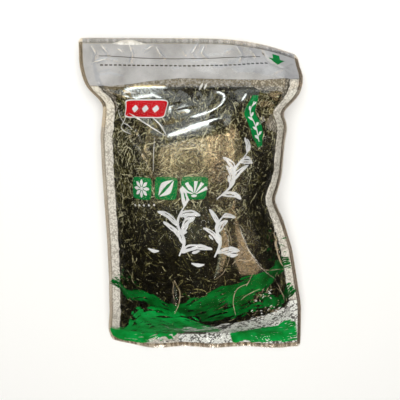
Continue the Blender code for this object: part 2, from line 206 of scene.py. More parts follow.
# Zones of the front web, in f and y: where each starts and ends, and how gently
ABOVE_FILL = (-64, 56, 12), (70, 97, 7)
AT_FOOT_Y = (-124, -92, 20)
RIGHT_FLANK = (52, 90, 22), (-80, 30, 20)
UNDER_TAG = (-68, -28, 6), (80, 94, 4)
RELIEF_Y = (-119, 97, 7)
PUCKERS_Y = (-112, 96, 12)
GATHERS_Y, CALM_GATHERS_F = (97, 102, 5), (38, 90, 12)
PRESSED_FOOT_Y = (-112, -34, 16)
PRESSED_FLANKS = (60, 90, 14), (-60, 46, 14)
CLINGING_Y, FREE_HANGING_Y = (-118, 92, 10), (68, 97, 9)

# Crumples and lumps: the spacing of their bowls, how much each bulges and tilts, and the seed
LARGE_CRUMPLES = (23, 0.5, 1.5, 11)
SMALL_CRUMPLES = (9.5, 0.08, 0.22, 12)
SLACK_CRUMPLES = (13, 0.18, 0.6, 32)
NORI_LUMPS = (7, 0.5, 1.5, 41)

PUCKER_HEIGHT, PUCKER_REACH, GATHER_HEIGHT = 1.1, 6, 0.22


def stations(table, y):
    """Straight lines through a table given in millimetres, with its corners eased over 3 mm each way."""
    heights, values = np.array(table).T * MM
    ease = 3 * MM
    return sum(np.interp(y + shift, heights, values) for shift in (-ease, 0, ease)) / 3


def eased(t):
    """0 to 1 with level ends: 3 t squared less 2 t cubed."""
    t = np.clip(t, 0, 1)
    return t * t * (3 - 2 * t)


def hump(t, low, high, ease):
    """1 between low and high, falling smoothly to 0 over ease outside them."""
    return eased((t - low) / ease + 1) * eased((high - t) / ease + 1)


def zone(f, y, across, up):
    """1 inside a zone, falling smoothly to 0 outside it both ways."""
    return hump(y, *up) * hump(f, *across)


def unit(vectors):
    """Vectors brought to a length of 1."""
    return vectors / np.maximum(np.linalg.norm(vectors, axis=-1, keepdims=True), 1e-9)


def fill(y):
    """Share of the full thickness at a height up the pouch: a quarter sine up from the bottom seal, and
    another down to the zip."""
    foot = np.sin(math.pi / 2 * np.clip((y - BOTTOM_SEAL_END) / FILL_FOOT, 0, 1))
    slope = np.clip((y - FILL_SLOPE_START) / (FILL_SLOPE_END - FILL_SLOPE_START), 0, 1)
    return foot * np.cos(math.pi / 2 * slope)


def arc_angle(y):
    """Half the angle of the arc that the film makes across the pouch, which grows with the fill."""
    return ARC_HALF_ANGLE * np.sqrt(fill(y)) + LEAST_ARC


def zip_opening(s, y):
    """Half the distance that the zip holds the webs apart, which fades into the seals round it."""
    half_base = ZIP_BASE_WIDTH / 2
    below = eased((y - ZIP_Y + half_base) / ZIP_FADE_BELOW + 1)
    above = 1 - eased((y - ZIP_Y - half_base) / ZIP_FADE_ABOVE)
    across = 1 - eased((np.abs(s) - ZIP_FADE) / (1 - ZIP_FADE))
    return ZIP_HALF_OPENING * (below * above) * across


def line_distance(x, y, a, b):
    """Distance of points from the line between a and b, and how far along it they are, from 0 to 1."""
    along = np.subtract(b, a)
    share = np.clip(((x - a[0]) * along[0] + (y - a[1]) * along[1]) / (along @ along), 0, 1)
    return np.hypot(x - a[0] - share * along[0], y - a[1] - share * along[1]), share


def stretches(points, f, y):
    """For each stretch of a line of points: how far places are from it, and how far along the whole line
    they are, from 0 to 1."""
    for step, (a, b) in enumerate(zip(points, points[1:])):
        distance, share = line_distance(f, y, a, b)
        yield distance, (step + share) / (len(points) - 1)


def fold_height(x, y):
    """The main folds of the front web: each a ridge or valley with straight flanks along a line."""
    total = np.zeros_like(x)
    for start, end, height, reach in FRONT_FOLDS:
        distance, _ = line_distance(x / MM, y / MM, start, end)
        total = total + height * MM * np.clip(1 - distance / reach, 0, 1)
    return total


def seam_point(s, y):
    """A point on the surface that both webs share in the seals, and that lies between them elsewhere.

    s runs from -1 to 1 between the inner edges of the side seals and further out to their outer edges.
    Between the seals equal steps of s are equal lengths of an arc: x goes as the sine of the arc's angle
    times s. The right seal turns up, and the top edge bends down on the right.
    """
    inside = np.clip(s, -1, 1)
    outward = np.maximum(np.abs(s) - 1, 0) / (EDGE_SHARE - 1) * SIDE_SEAL
    turn = np.where(s > 0, stations(RIGHT_SEAL_TURN, y) / MM, 0)
    left = stations(LEFT_EDGE, y) + SIDE_SEAL
    right = stations(RIGHT_EDGE, y) - SIDE_SEAL * (1 - turn)
    across = np.sin(arc_angle(y) * inside) / np.sin(arc_angle(y))
    x = (left + right) / 2 + (right - left) / 2 * across
    x = x + np.sign(s) * outward * (1 - turn)
    z = stations(LEFT_SEAM, y) * (1 - inside) / 2 + stations(RIGHT_SEAM, y) * (1 + inside) / 2
    z = z + outward * (np.sqrt(1 - (1 - turn) ** 2) - SEAL_DROOP * (1 - turn))
    to_bottom = eased((BOTTOM_CURL_START - y) / (BOTTOM_CURL_START - BOTTOM_EDGE))
    z = z + BOTTOM_RIPPLE * np.sin(RIPPLE_RATE * inside + RIPPLE_START) * to_bottom
    to_top = eased((y - ZIP_Y) / (TOP_EDGE - ZIP_Y))
    to_right = np.maximum(s / EDGE_SHARE, 0) ** TOP_BEND_POWER
    to_corner = np.maximum(-s / EDGE_SHARE - CORNER_CURL_START, 0) / (1 - CORNER_CURL_START)
    z = z - TOP_BEND_DROP * to_right * to_top
    y = y - TOP_BEND * to_right * to_top + CORNER_CURL * to_corner**CORNER_CURL_POWER * to_bottom
    return np.stack([x, y, z], axis=-1)


def seam_normal(s, y):
    """The upward normal of the seam surface, from small steps along it."""
    ds, dy = 0.01, 1 * MM
    across = seam_point(s + ds, y) - seam_point(s - ds, y)
    along = seam_point(s, y + dy) - seam_point(s, y - dy)
    return unit(np.cross(across, along))


def smooth_web(s, y, side):
    """The middle of a web before it is crumpled: the seam surface, moved off it by half the weld or the
    zip's opening, and raised or lowered by a circular arc times the fill. The back web is pressed flat on
    the floor."""
    share, angle = fill(y), arc_angle(y)
    inside = np.clip(s, -1, 1)
    arc = (np.cos(angle * inside) - np.cos(angle)) / (1 - np.cos(angle))
    spread = WEB_SPACING / 2 + zip_opening(s, y)
    point = seam_point(s, y) + side * spread[..., None] * seam_normal(s, y)
    if side > 0:
        shaping = eased(share * FOLD_FILL_RATE) * eased((1 - np.abs(inside)) * FOLD_SIDE_RATE)
        point[..., 2] += FRONT_RISE * share * arc
        point[..., 2] += fold_height(point[..., 0], point[..., 1]) * shaping
    else:
        low = point[..., 2] - BACK_DROP * share**BACK_POWER * arc - CAD_FILM / 2
        on_floor = np.where(low < -FLOOR_EASE, 0, (low + FLOOR_EASE) ** 2 / (4 * FLOOR_EASE))
        point[..., 2] = np.where(low > FLOOR_EASE, low, on_floor) + CAD_FILM / 2
    return point


def crease_height(creases, f, y, power=CREASE_POWER):
    """Sharp folds along lines, in millimetres: each is its height times 1 less the distance over the half
    width, to this power, so that its crest is pointed. They fade towards the two ends of their lines."""
    total = np.zeros_like(f)
    for height, width, points in creases:
        ridge = np.zeros_like(f)
        for distance, along in stretches(points, f, y):
            ends = np.sqrt(np.clip(4 * along * (1 - along) + 0.1, 0, 1))
            ridge = np.maximum(ridge, ends * np.clip(1 - distance / width, 0, 1) ** power)
        total = total + height * ridge
    return total


def depth_inside(corners, f, y):
    """How far into a polygon a place is from its nearest side, in millimetres, and 0 outside it. A place
    is inside if a line across to its right crosses an odd number of sides."""
    nearest, inside = np.full_like(f, np.inf), np.zeros(f.shape, bool)
    for a, b in zip(corners, corners[1:] + corners[:1]):
        distance, _ = line_distance(f, y, a, b)
        nearest = np.minimum(nearest, distance)
        rise = (b[1] - a[1]) or 1e-9
        inside ^= ((a[1] > y) != (b[1] > y)) & (f < a[0] + (b[0] - a[0]) * (y - a[1]) / rise)
    return np.where(inside, nearest, 0)


def lift_and_shine(f, y):
    """The lift of the front web's patches, in millimetres, which rises over a bevel round each, and how
    much more or less than plain film the web mirrors.

    The shine of the patches adds up. A line's takes its place near the line, over a width that tapers
    towards both ends as half a circle does. Dents in the header add a little, and where the film is
    pressed to the nori, at the foot and on both flanks, what doesn't shine is dulled.
    """
    lift, shine = np.zeros_like(f), np.zeros_like(f)
    for corners, height, gloss in PATCHES:
        depth = depth_inside(corners, f, y)
        lift = lift + height * np.clip(depth / PATCH_BEVEL, 0, 1)
        shine = shine + gloss * eased(depth / SHINE_BEVEL)
    for gloss, width, points in LINES:
        near = np.zeros_like(f)
        for distance, along in stretches(points, f, y):
            round_end = np.sqrt(np.clip(4 * along * (1 - along), 0, 1))
            reach = width * (LINE_TIP + (1 - LINE_TIP) * round_end)
            near = np.maximum(near, np.clip(LINE_CORE - LINE_CORE * distance / reach, 0, 1))
        shine = shine * (1 - near) + gloss * near
    shine = shine + DENT_SHINE * np.clip(crease_height(DENTS, f, y), 0, 1)
    pressed = np.maximum(hump(y, *PRESSED_FOOT_Y), zone(np.abs(f), y, *PRESSED_FLANKS))
    return lift, np.where(shine > 0, shine, shine - 0.8 * pressed * (1 + shine))


def pillows(f, y, spacing, bulge, tilt, seed):
    """Crumpled film, in millimetres: every cell of a grid holds a bowl at a random place with a random
    tilt, and the lowest bowl at each point counts, so that they meet in sharp ridges."""
    cells = np.random.default_rng(seed).random((64, 64, 4))
    column, row = np.floor(f / spacing).astype(int), np.floor(y / spacing).astype(int)
    lowest = np.full_like(f, np.inf)
    for across, along in itertools.product(range(-2, 3), repeat=2):
        cell = cells[(row + along) % 64, (column + across) % 64]
        df = f / spacing - column - across - cell[..., 0]
        dy = y / spacing - row - along - cell[..., 1]
        slope = tilt * ((cell[..., 2] - 0.5) * df + (cell[..., 3] - 0.5) * dy)
        lowest = np.minimum(lowest, bulge * 4 * (df**2 + dy**2) + slope)
    return lowest


def waves(t, lengths, seed):
    """A wave of changing length: the mean of sines of these lengths with random starts."""
    starts = np.random.default_rng(seed).uniform(0, 2 * math.pi, len(lengths))
    sines = [np.sin(2 * math.pi * t / length + start) for length, start in zip(lengths, starts)]
    return sum(sines) / len(lengths)


def looseness(f, y):
    """How loose the front web is, from 0 to 1: most at the foot and on the right flank, and least above the
    fill and round the red tag."""
    loose = 0.3 - 0.22 * zone(f, y, *ABOVE_FILL) + 0.6 * hump(y, *AT_FOOT_Y)
    loose = loose + 0.5 * zone(f, y, *RIGHT_FLANK)
    return np.clip(loose, 0, 1) * (1 - 0.75 * zone(f, y, *UNDER_TAG))


def front_relief(f, y):
    """How far the front web stands off its smooth shape: creases, patches and crumples over the fill,
    puckers that are highest at their reach from the side seals, gathers below the zip, and dents in the
    header. Crumples are flatter where the film shines."""
    f, y = f / MM, y / MM
    inset = HALF_INSIDE / MM - np.abs(f)
    swayed = f + 4 * waves(y, (37, 61), 5)
    crumple = looseness(f, y) * (pillows(swayed, y, *LARGE_CRUMPLES) + pillows(f, y, *SMALL_CRUMPLES))
    t = np.maximum(inset, 0) / PUCKER_REACH
    pucker = PUCKER_HEIGHT * t * np.exp(1 - t) * waves(y + 0.3 * f, (9, 13, 22), 21) * hump(y, *PUCKERS_Y)
    gathers = GATHER_HEIGHT * waves(f + 0.35 * y, (8.3, 13, 21), 22) * hump(y, *GATHERS_Y)
    gathers = gathers * eased(inset / 9) * (1 - 0.75 * hump(f, *CALM_GATHERS_F))
    lift, shine = lift_and_shine(f, y)
    folds = CREASE_GAIN * crease_height(CREASES, f, y) + crease_height(ARCS, f, y, ARC_POWER)
    over_fill = folds + lift + (1 - 0.7 * np.clip(shine, 0, 1)) * crumple
    over_fill = eased(inset / 7) * hump(y, *RELIEF_Y) * over_fill
    return MM * (over_fill + DENT_GAIN * crease_height(DENTS, f, y) + pucker + gathers)


def shared_relief(f, y):
    """Wrinkles that both webs share, where they lie together in the header and the bottom seal."""
    f, y = f / MM, y / MM
    header, foot = hump(y, 116, 150, 10), hump(y, -150, -126, 8)
    crumple = pillows(f, 1.6 * y, *SLACK_CRUMPLES) - 0.1
    slack = 0.4 * waves(f + 0.6 * y, (34, 55, 83), 31) + 0.55 * crumple
    gathers = np.abs(waves(f + 2 * waves(y, (30,), 33), (5, 7.3, 11), 34)) ** 0.5
    return MM * (header * slack + 0.9 * foot * hump(f, -8, 88, 12) * (gathers - 0.5) + 0.3 * foot * slack)


class Web:
    """One web of film: a grid of points on its middle, their normals, and three numbers that its finish
    reads. Rows run up the pouch and columns across it, and near the corners the rows draw together to
    round them."""

    def __init__(self, side, grid):
        rows, columns = grid
        self.side = side
        f = np.linspace(-HALF_FLAT, HALF_FLAT, columns)[None, :]
        share = np.linspace(0, 1, rows)[:, None]
        low, high = self.ends(f)
        f, y = np.broadcast_arrays(f, low + share * (high - low))
        self.points = smooth_web(f / HALF_INSIDE, y, side)
        relief = shared_relief(f, y)
        self.shine = np.zeros_like(f)
        if side > 0:
            relief = relief + front_relief(f, y)
            _, self.shine = lift_and_shine(f / MM, y / MM)
        self.points = self.points + relief[..., None] * self.grid_normals(self.points)
        self.normals = self.grid_normals(self.points)
        inset = eased((HALF_INSIDE - np.abs(f)) / (3.5 * MM)) * hump(y / MM, *CLINGING_Y)
        held = inset * (1 - 0.95 * hump(y / MM, *FREE_HANGING_Y)) * (1 - 0.7 * np.clip(self.shine, 0, 1))
        self.cling = 0.01 + 0.99 * held
        ease = 0.8 * MM
        self.inner = eased((BAND_EDGE - np.abs(f)) / ease) * hump(y, PRINT_FOOT, BAND_TOP, ease)

    @staticmethod
    def ends(f):
        """Lowest and highest y at f: the straight edges, less a circle's arc within the radius of a
        corner."""
        into = np.clip((np.abs(f) - HALF_FLAT + CORNER_RADIUS) / CORNER_RADIUS, 0, 1)
        trim = CORNER_RADIUS * (1 - np.sqrt(1 - into**2))
        return BOTTOM_EDGE + trim, TOP_EDGE - trim

    @staticmethod
    def grid_normals(points):
        """Upward normals of a grid: the cross product of the steps to the neighbours on both sides."""
        return unit(np.cross(np.gradient(points, axis=1), np.gradient(points, axis=0)))

    def at(self, f, y):
        """Point and normal at flat places, read off the triangle of the grid that each lies in."""
        rows, columns = self.points.shape[:2]
        low, high = self.ends(f)
        across = np.clip((f + HALF_FLAT) / (2 * HALF_FLAT), 0, 1) * (columns - 1)
        along = np.clip((y - low) / (high - low), 0, 1) * (rows - 1)
        column = np.minimum(across.astype(int), columns - 2)
        row = np.minimum(along.astype(int), rows - 2)
        u, v = (across - column)[..., None], (along - row)[..., None]
        found = []
        for values in (self.points, self.normals):
            a, b = values[row, column], values[row, column + 1]
            c, d = values[row + 1, column + 1], values[row + 1, column]
            lower, upper = a + u * (b - a) + v * (c - b), a + v * (d - a) + u * (c - d)
            found.append(np.where(u >= v, lower, upper))
        return found


def closed_sheet(top, bottom):
    """Points and triangles of a closed sheet between two grids, each square split along the same
    diagonal."""
    rows, columns = top.shape[:2]
    count = rows * columns
    number = np.arange(count).reshape(rows, columns)
    a, b, c, d = number[:-1, :-1], number[:-1, 1:], number[1:, 1:], number[1:, :-1]
    halves = [np.stack(corners, axis=-1).reshape(-1, 3) for corners in ((a, b, c), (a, c, d))]
    upper = np.concatenate(halves)
    rim = np.concatenate([number[0, :-1], number[:-1, -1], number[-1, :0:-1], number[:0:-1, 0]])
    ahead = np.roll(rim, -1)
    walls = [
        np.stack([rim + count, ahead + count, ahead], axis=-1),
        np.stack([rim + count, ahead, rim], axis=-1),
    ]
    faces = np.concatenate([upper, upper[:, ::-1] + count, *walls])
    return np.concatenate([top.reshape(-1, 3), bottom.reshape(-1, 3)]), faces


def add_piece(name, points, faces, material, slot, replaced=()):
    """A piece of the pouch from its points and faces, smooth except over sharp edges."""
    mesh = bpy.data.meshes.new(name)
    mesh.from_pydata(points.tolist(), [], faces.tolist(), shade_flat=False)
    mesh.set_sharp_from_angle(angle=math.radians(60))
    mesh.materials.append(material)
    piece = bpy.data.objects.new(name, mesh)
    bpy.context.scene.collection.objects.link(piece)
    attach(piece, "root")
    if replaced:
        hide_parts(*replaced)
    return piece


def join(sheets):
    """One set of points and faces from several."""
    counts = [len(points) for points, _ in sheets]
    starts = np.cumsum([0, *counts[:-1]])
    points = np.concatenate([points for points, _ in sheets])
    return points, np.concatenate([faces + start for (_, faces), start in zip(sheets, starts)])


def give_number(piece, name, values):
    """One number for each point of a piece, which its material reads by this name."""
    attribute = piece.data.attributes.new(name, "FLOAT", "POINT")
    attribute.data.foreach_set("value", values.astype(np.float32))


def give_flat_uv(piece, flat):
    """A UV map that holds the flat places of the points, in units of 100 mm."""
    corners = np.empty(len(piece.data.loops), int)
    piece.data.loops.foreach_get("vertex_index", corners)
    layer = piece.data.uv_layers.new(name="flat")
    layer.data.foreach_set("uv", (flat[corners] * 10).ravel())


# Finishes


def fill_ramp(ramp, stops):
    """Sets all the stops of a colour ramp, each a place and a colour."""
    while len(ramp.elements) < len(stops):
        ramp.elements.new(1)
    for element, (place, colour) in zip(ramp.elements, stops):
        element.position = place
        element.color = (*colour, 1)


class Finish:
    """A material with a short way to add and join nodes. Each method below show gives its node's output."""

    def __init__(self, name):
        self.material = bpy.data.materials.new(name)
        self.material.use_nodes = True
        self.tree = self.material.node_tree
        self.tree.nodes.clear()
        self.output = self.add("ShaderNodeOutputMaterial")

    def add(self, kind, inputs=(), **settings):
        """A node with these settings. inputs maps a socket to its value, or to the output that feeds it."""
        node = self.tree.nodes.new(kind)
        for setting, value in settings.items():
            setattr(node, setting, value)
        for socket, value in dict(inputs).items():
            if isinstance(value, bpy.types.NodeSocket):
                self.tree.links.new(value, node.inputs[socket])
            else:
                node.inputs[socket].default_value = value
        return node

    def show(self, shader):
        """The finished material, with this shader on its surface."""
        self.tree.links.new(shader, self.output.inputs["Surface"])
        return self.material

    def place(self):
        """Where a point is in space."""
        return self.add("ShaderNodeTexCoord").outputs["Object"]

    def flat_place(self):
        """Where a point is on the flat film."""
        return self.add("ShaderNodeUVMap", uv_map="flat").outputs["UV"]

    def number(self, name):
        """A number that the points of the piece carry."""
        return self.add("ShaderNodeAttribute", attribute_name=name).outputs["Fac"]

    def noise(self, vector, scale, detail, roughness=0.5, distortion=0.0):
        """Cloudy noise between 0 and 1."""
        inputs = {
            "Vector": vector, "Scale": scale, "Detail": detail, "Roughness": roughness,
            "Distortion": distortion,
        }
        return self.add("ShaderNodeTexNoise", inputs).outputs["Fac"]

    def math(self, operation, *values):
        """The result of an operation on numbers or outputs."""
        return self.add("ShaderNodeMath", dict(enumerate(values)), operation=operation).outputs[0]

    def ramp(self, factor, stops):
        """Colours along a factor: stops are places and colours."""
        node = self.add("ShaderNodeValToRGB", {"Fac": factor})
        fill_ramp(node.color_ramp, stops)
        return node.outputs["Color"]

    def stretch(self, value, low, high, least, most):
        """A value brought from the range between low and high to that between least and most."""
        inputs = {"Value": value, "From Min": low, "From Max": high, "To Min": least, "To Max": most}
        return self.add("ShaderNodeMapRange", inputs).outputs["Result"]

    def bump(self, height, strength, distance):
        """A normal tilted as by relief of this height, over a distance in millimetres."""
        inputs = {"Height": height, "Strength": strength, "Distance": distance * MM}
        return self.add("ShaderNodeBump", inputs).outputs["Normal"]

    def matt(self, colour, roughness, specular, **others):
        """A body colour under a weak gloss."""
        inputs = {"Base Color": colour, "Roughness": roughness, "Specular IOR Level": specular, **others}
        return self.add("ShaderNodeBsdfPrincipled", inputs).outputs[0]

    def clear(self, colour):
        """A tint that light passes through."""
        return self.add("ShaderNodeBsdfTransparent", {"Color": colour}).outputs[0]

    def mix(self, share, under, over):
        """One shader over another, at this share."""
        return self.add("ShaderNodeMixShader", {0: share, 1: under, 2: over}).outputs[0]


def clear_film(name, margin_tint, tint, roughness):
    """Clear plastic film: it lets light through, tinted, and mirrors a share of it, which is 3.4% straight
    on and grows to 43% at a grazing view, by the fifth power.

    Three numbers say where it differs. "inner" is 0 on the bare margins. "cling" is how far the shreds
    print through, so that their grain breaks up the reflections. "shine" is how much more the film
    mirrors: a little of it shows in fine specks, and more of it evenly. Below 0 it takes gloss away.
    """
    made = Finish(name)
    place = made.place()
    inner, cling, shine = (made.number(number) for number in ("inner", "cling", "shine"))
    normal = made.bump(made.noise(place, 620.0, 3.0, distortion=1.5), cling, 0.42)
    facing = made.add("ShaderNodeLayerWeight", {"Blend": 0.5, "Normal": normal}).outputs["Facing"]
    mirrored = made.math("MULTIPLY_ADD", made.math("POWER", facing, 5.0), 0.4, 0.034)
    bright = made.math("MAXIMUM", shine, 0.0)
    even = made.math("MULTIPLY", made.math("MULTIPLY", bright, bright), 14.0)
    specks = made.stretch(made.noise(place, 520.0, 4.0, distortion=0.8), 0.44, 0.58, 0.0, 13.0)
    kept = made.math("ADD", made.math("MINIMUM", shine, 0.0), 1.0)
    more = made.math("MULTIPLY_ADD", bright, made.math("MAXIMUM", specks, even), kept)
    through = made.clear(made.ramp(inner, [(0, margin_tint), (1, tint)]))
    inputs = {"Color": (1, 1, 1, 1), "Roughness": roughness, "Normal": normal}
    gloss = made.add("ShaderNodeBsdfGlossy", inputs).outputs[0]
    return made.show(made.mix(made.math("MULTIPLY", mirrored, more), through, gloss))


def ink(name, pale, dark):
    """Opaque printing ink, slightly uneven."""
    made = Finish(name)
    blotches = made.noise(made.place(), 90.0, 4.0)
    return made.show(made.matt(made.ramp(blotches, [(0.35, dark), (0.65, pale)]), 0.5, 0.1))


def misty_print(name, pale, dark, cover, scale=38.0):
    """A semi-opaque milky print, thinner in cloudy patches of this scale. cover is its least and most."""
    made = Finish(name)
    clouds = made.noise(made.place(), scale, 5.0, roughness=0.6)
    body = made.matt(made.ramp(clouds, [(0.3, dark), (0.62, pale)]), 0.5, 0.1)
    share = made.stretch(clouds, 0.35, 0.65, *cover)
    return made.show(made.mix(share, made.clear((0.9, 0.88, 0.84, 1)), body))


def dotted_seal(name, cells, edge, patchiness, pale, dark):
    """The weld: fine pale dots pressed into the film on a slanted grid, this many in 100 mm, on a darker
    ground. edge is how far each reaches, in shares of the grid's spacing, and they swell and shrink in
    uneven patches, as far as patchiness says."""
    made = Finish(name)
    turn = {"Vector": made.flat_place(), "Rotation": (0, 0, 0.6), "Scale": (cells, cells, cells)}
    turned = made.add("ShaderNodeMapping", turn).outputs["Vector"]
    cell = {"Vector": turned, "Scale": 1.0, "Randomness": 0.65}
    dots = made.add("ShaderNodeTexVoronoi", cell).outputs["Distance"]
    swell = made.math("MULTIPLY_ADD", made.noise(turned, 0.2, 4.0), -patchiness, dots)
    swell = made.math("ADD", swell, 0.5 - edge + patchiness / 2)
    colour = made.ramp(swell, [(0.42, pale), (0.58, dark)])
    body = made.matt(colour, 0.35, 0.3, Normal=made.bump(dots, 0.6, 0.2))
    return made.show(made.mix(0.9, made.clear((0.8, 0.76, 0.7, 1)), body))


def tinted_strip(name, pale, deep):
    """A clear strip with a tint, in streaks that run up the pouch."""
    made = Finish(name)
    drawn = made.add("ShaderNodeMapping", {"Vector": made.flat_place(), "Scale": (26, 2, 1)})
    streaks = made.noise(drawn.outputs["Vector"], 1.0, 2.0)
    return made.show(made.clear(made.ramp(streaks, [(0.43, deep), (0.6, pale)])))


def nori_finish(name, stops):
    """Roasted nori: each shred has its own tone, and fine grain runs over it."""
    made = Finish(name)
    grain = made.noise(made.place(), 900.0, 3.0)
    tone = made.math("MULTIPLY_ADD", grain, 0.25, made.number("tone"))
    colour = made.ramp(made.math("SUBTRACT", tone, 0.125), stops)
    return made.show(made.matt(colour, 0.4, 0.3, Normal=made.bump(grain, 0.5, 0.15)))


def make_inks():
    """The finishes of all the prints, by short names. Tints and inks are given pale, then dark."""
    return {
        "milk": misty_print("milky band", (0.51, 0.522, 0.548), (0.335, 0.343, 0.362), (0.86, 0.95)),
        "seal": dotted_seal("dotted seal", 56, 0.55, 0.4, (0.78, 0.755, 0.685), (0.46, 0.43, 0.375)),
        "weld": dotted_seal("bright weld", 46, 0.6, 0.7, (0.92, 0.94, 0.9), (0.11, 0.105, 0.095)),
        "brown weld": dotted_seal("brown weld", 54, 0.42, 0.5, (0.42, 0.39, 0.33), (0.14, 0.125, 0.1)),
        "smoky": tinted_strip("smoky margin", (0.76, 0.735, 0.71), (0.58, 0.55, 0.52)),
        "frosted": tinted_strip("frosted margin", (0.86, 0.9, 0.98), (0.75, 0.79, 0.86)),
        "pale": tinted_strip("pale margin", (1.0, 0.99, 0.97), (0.93, 0.905, 0.87)),
        "streaked": tinted_strip("streaked margin", (1.0, 0.985, 0.955), (0.73, 0.69, 0.645)),
        "dark": ink("dark ink", (0.02, 0.022, 0.03), (0.012, 0.012, 0.016)),
        "green": ink("green ink", (0.0, 0.2, 0.045), (0.0, 0.14, 0.028)),
        "deep green": ink("deep green ink", (0.0, 0.155, 0.02), (0.0, 0.046, 0.004)),
        "foot green": ink("foot green ink", (0.001, 0.37, 0.062), (0.0, 0.185, 0.02)),
        "red": ink("red ink", (0.56, 0.005, 0.012), (0.42, 0.003, 0.008)),
        "white": ink("white ink", (0.72, 0.73, 0.74), (0.62, 0.63, 0.64)),
        # The last two are painted: highlights along folds, and warm reflections along folds
        "painted highlight": misty_print("painted highlight folds", (0.94, 0.95, 0.94), (0.66, 0.66, 0.63), (0.6, 0.97), 200.0),
        "painted warm reflection": misty_print("painted warm reflections", (0.66, 0.54, 0.39), (0.42, 0.33, 0.21), (0.38, 0.78), 200.0),
    }


# The film


def make_web(name, web, material, replaced):
    """One web as a closed sheet of the film's thickness, with the three numbers that its finish reads."""
    half = web.normals * FILM / 2
    sheet = closed_sheet(web.points + half, web.points - half)
    piece = add_piece(name, *sheet, material, "film", replaced)
    for number, values in (("cling", web.cling), ("shine", web.shine), ("inner", web.inner)):
        give_number(piece, number, np.tile(values.ravel(), 2))


# Shapes of prints, as flat places

PRINT_STEP = 1.1 * MM


def smooth_line(points):
    """Points close together on a smooth curve through the given ones, in metres: cubic Hermite spans with
    each tangent along the line between the neighbours. Also how far along each is, from 0 to 1."""
    points = np.array(points, float) * MM
    tangents = np.gradient(points, axis=0)
    length = np.linalg.norm(np.diff(points, axis=0), axis=1).sum()
    along = np.linspace(0, len(points) - 1, max(3, int(length / PRINT_STEP) + 1))
    span = np.minimum(along.astype(int), len(points) - 2)
    t = (along - span)[:, None]
    a, b, ta, tb = points[span], points[span + 1], tangents[span], tangents[span + 1]
    line = (1 + 2 * t) * (1 - t) ** 2 * a + t * (1 - t) ** 2 * ta
    line = line + t**2 * (3 - 2 * t) * b + t**2 * (t - 1) * tb
    return line, along / (len(points) - 1)


def spine(points, widths):
    """The smooth line of a stroke, its width there and the direction across it. widths are in millimetres
    at even stations along the line."""
    line, share = smooth_line(points)
    width = np.interp(share, np.linspace(0, 1, len(widths)), widths) * MM
    ahead = np.gradient(line, axis=0)
    return line, width, unit(np.stack([ahead[:, 1], -ahead[:, 0]], axis=-1))


def stroke(points, widths, ragged=0.0, seed=0):
    """Flat places of a brush stroke along a smooth line. ragged is how far its edges wander, in
    millimetres."""
    line, width, aside = spine(points, widths)
    columns = max(2, int(width.max() / PRINT_STEP) + 1)
    across = np.linspace(-0.5, 0.5, columns)[None, :]
    rng = np.random.default_rng(seed)
    left, right = (
        ragged * MM * waves(np.arange(len(line)), rng.uniform(2.2, 9, 3), seed + edge)[:, None]
        for edge in (1, 2)
    )
    wander = np.where(across < 0, -across * left, across * right)
    offset = across * width[:, None] + 2 * wander * np.sign(across)
    return line[:, None] + aside[:, None] * offset[..., None]


def disc(centre, size, power=2.0, spokes=24):
    """Flat places of a filled round or rounded-square shape: rings out from the centre to a superellipse,
    whose x and y shares to this power add up to 1."""
    rings = max(2, int(max(size) / 2 / PRINT_STEP * MM) + 1)
    angle = np.linspace(0, 2 * math.pi, spokes + 1)
    cos, sin = np.cos(angle), np.sin(angle)
    reach = (np.abs(cos) ** power + np.abs(sin) ** power) ** (-1 / power)
    edge = np.stack([cos * reach * size[0] / 2, sin * reach * size[1] / 2], axis=-1)
    ring = np.linspace(0.02, 1, rings)[:, None, None]
    return (np.array(centre) + ring * edge) * MM


def along_table(table):
    """A function that reads a table of (f, y) in millimetres, on straight lines."""
    f, y = np.array(table, float).T * MM
    return lambda place: np.interp(place, f, y)


def block(left, right, low, high):
    """Flat places of a shape with upright sides, in metres. low and high are numbers, or functions of f
    for an edge that bends."""
    columns = max(2, int((right - left) / PRINT_STEP) + 1)
    f = np.linspace(left, right, columns)
    low, high = (value(f) if callable(value) else np.full(columns, value) for value in (low, high))
    rows = max(2, int((high - low).max() / PRINT_STEP) + 1)
    share = np.linspace(0, 1, rows)[:, None]
    return np.stack(np.broadcast_arrays(f[None, :], low + share * (high - low)), axis=-1)


def side_strip(side, low, high):
    """Flat places of a strip on a side seal, whose inner edge wanders as the weld does."""
    y = np.linspace(low, high, int((high - low) / PRINT_STEP))[:, None]
    inner = STRIP_INSIDE - (0.7 + 1.2 * waves(y / MM, (3.7, 6.1, 13, 29), 70 + side)) * MM
    f = side * (BAND_EDGE + np.linspace(0, 1, 7) * (inner - BAND_EDGE))
    return np.stack(np.broadcast_arrays(f, y), axis=-1)


def dashes(places, size):
    """Small oblong marks of one size, with their middles at these places, in millimetres."""
    half_width, half_height = size[0] / 2, size[1] / 2
    return [
        block((f - half_width) * MM, (f + half_width) * MM, (y - half_height) * MM, (y + half_height) * MM)
        for f, y in places
    ]


def outline(centre, size, power, width):
    """Flat places of a closed line of this width round a superellipse."""
    edge = disc((0, 0), size, power, spokes=96)[-1] / MM + np.array(centre)
    return stroke(edge[::2], [width])


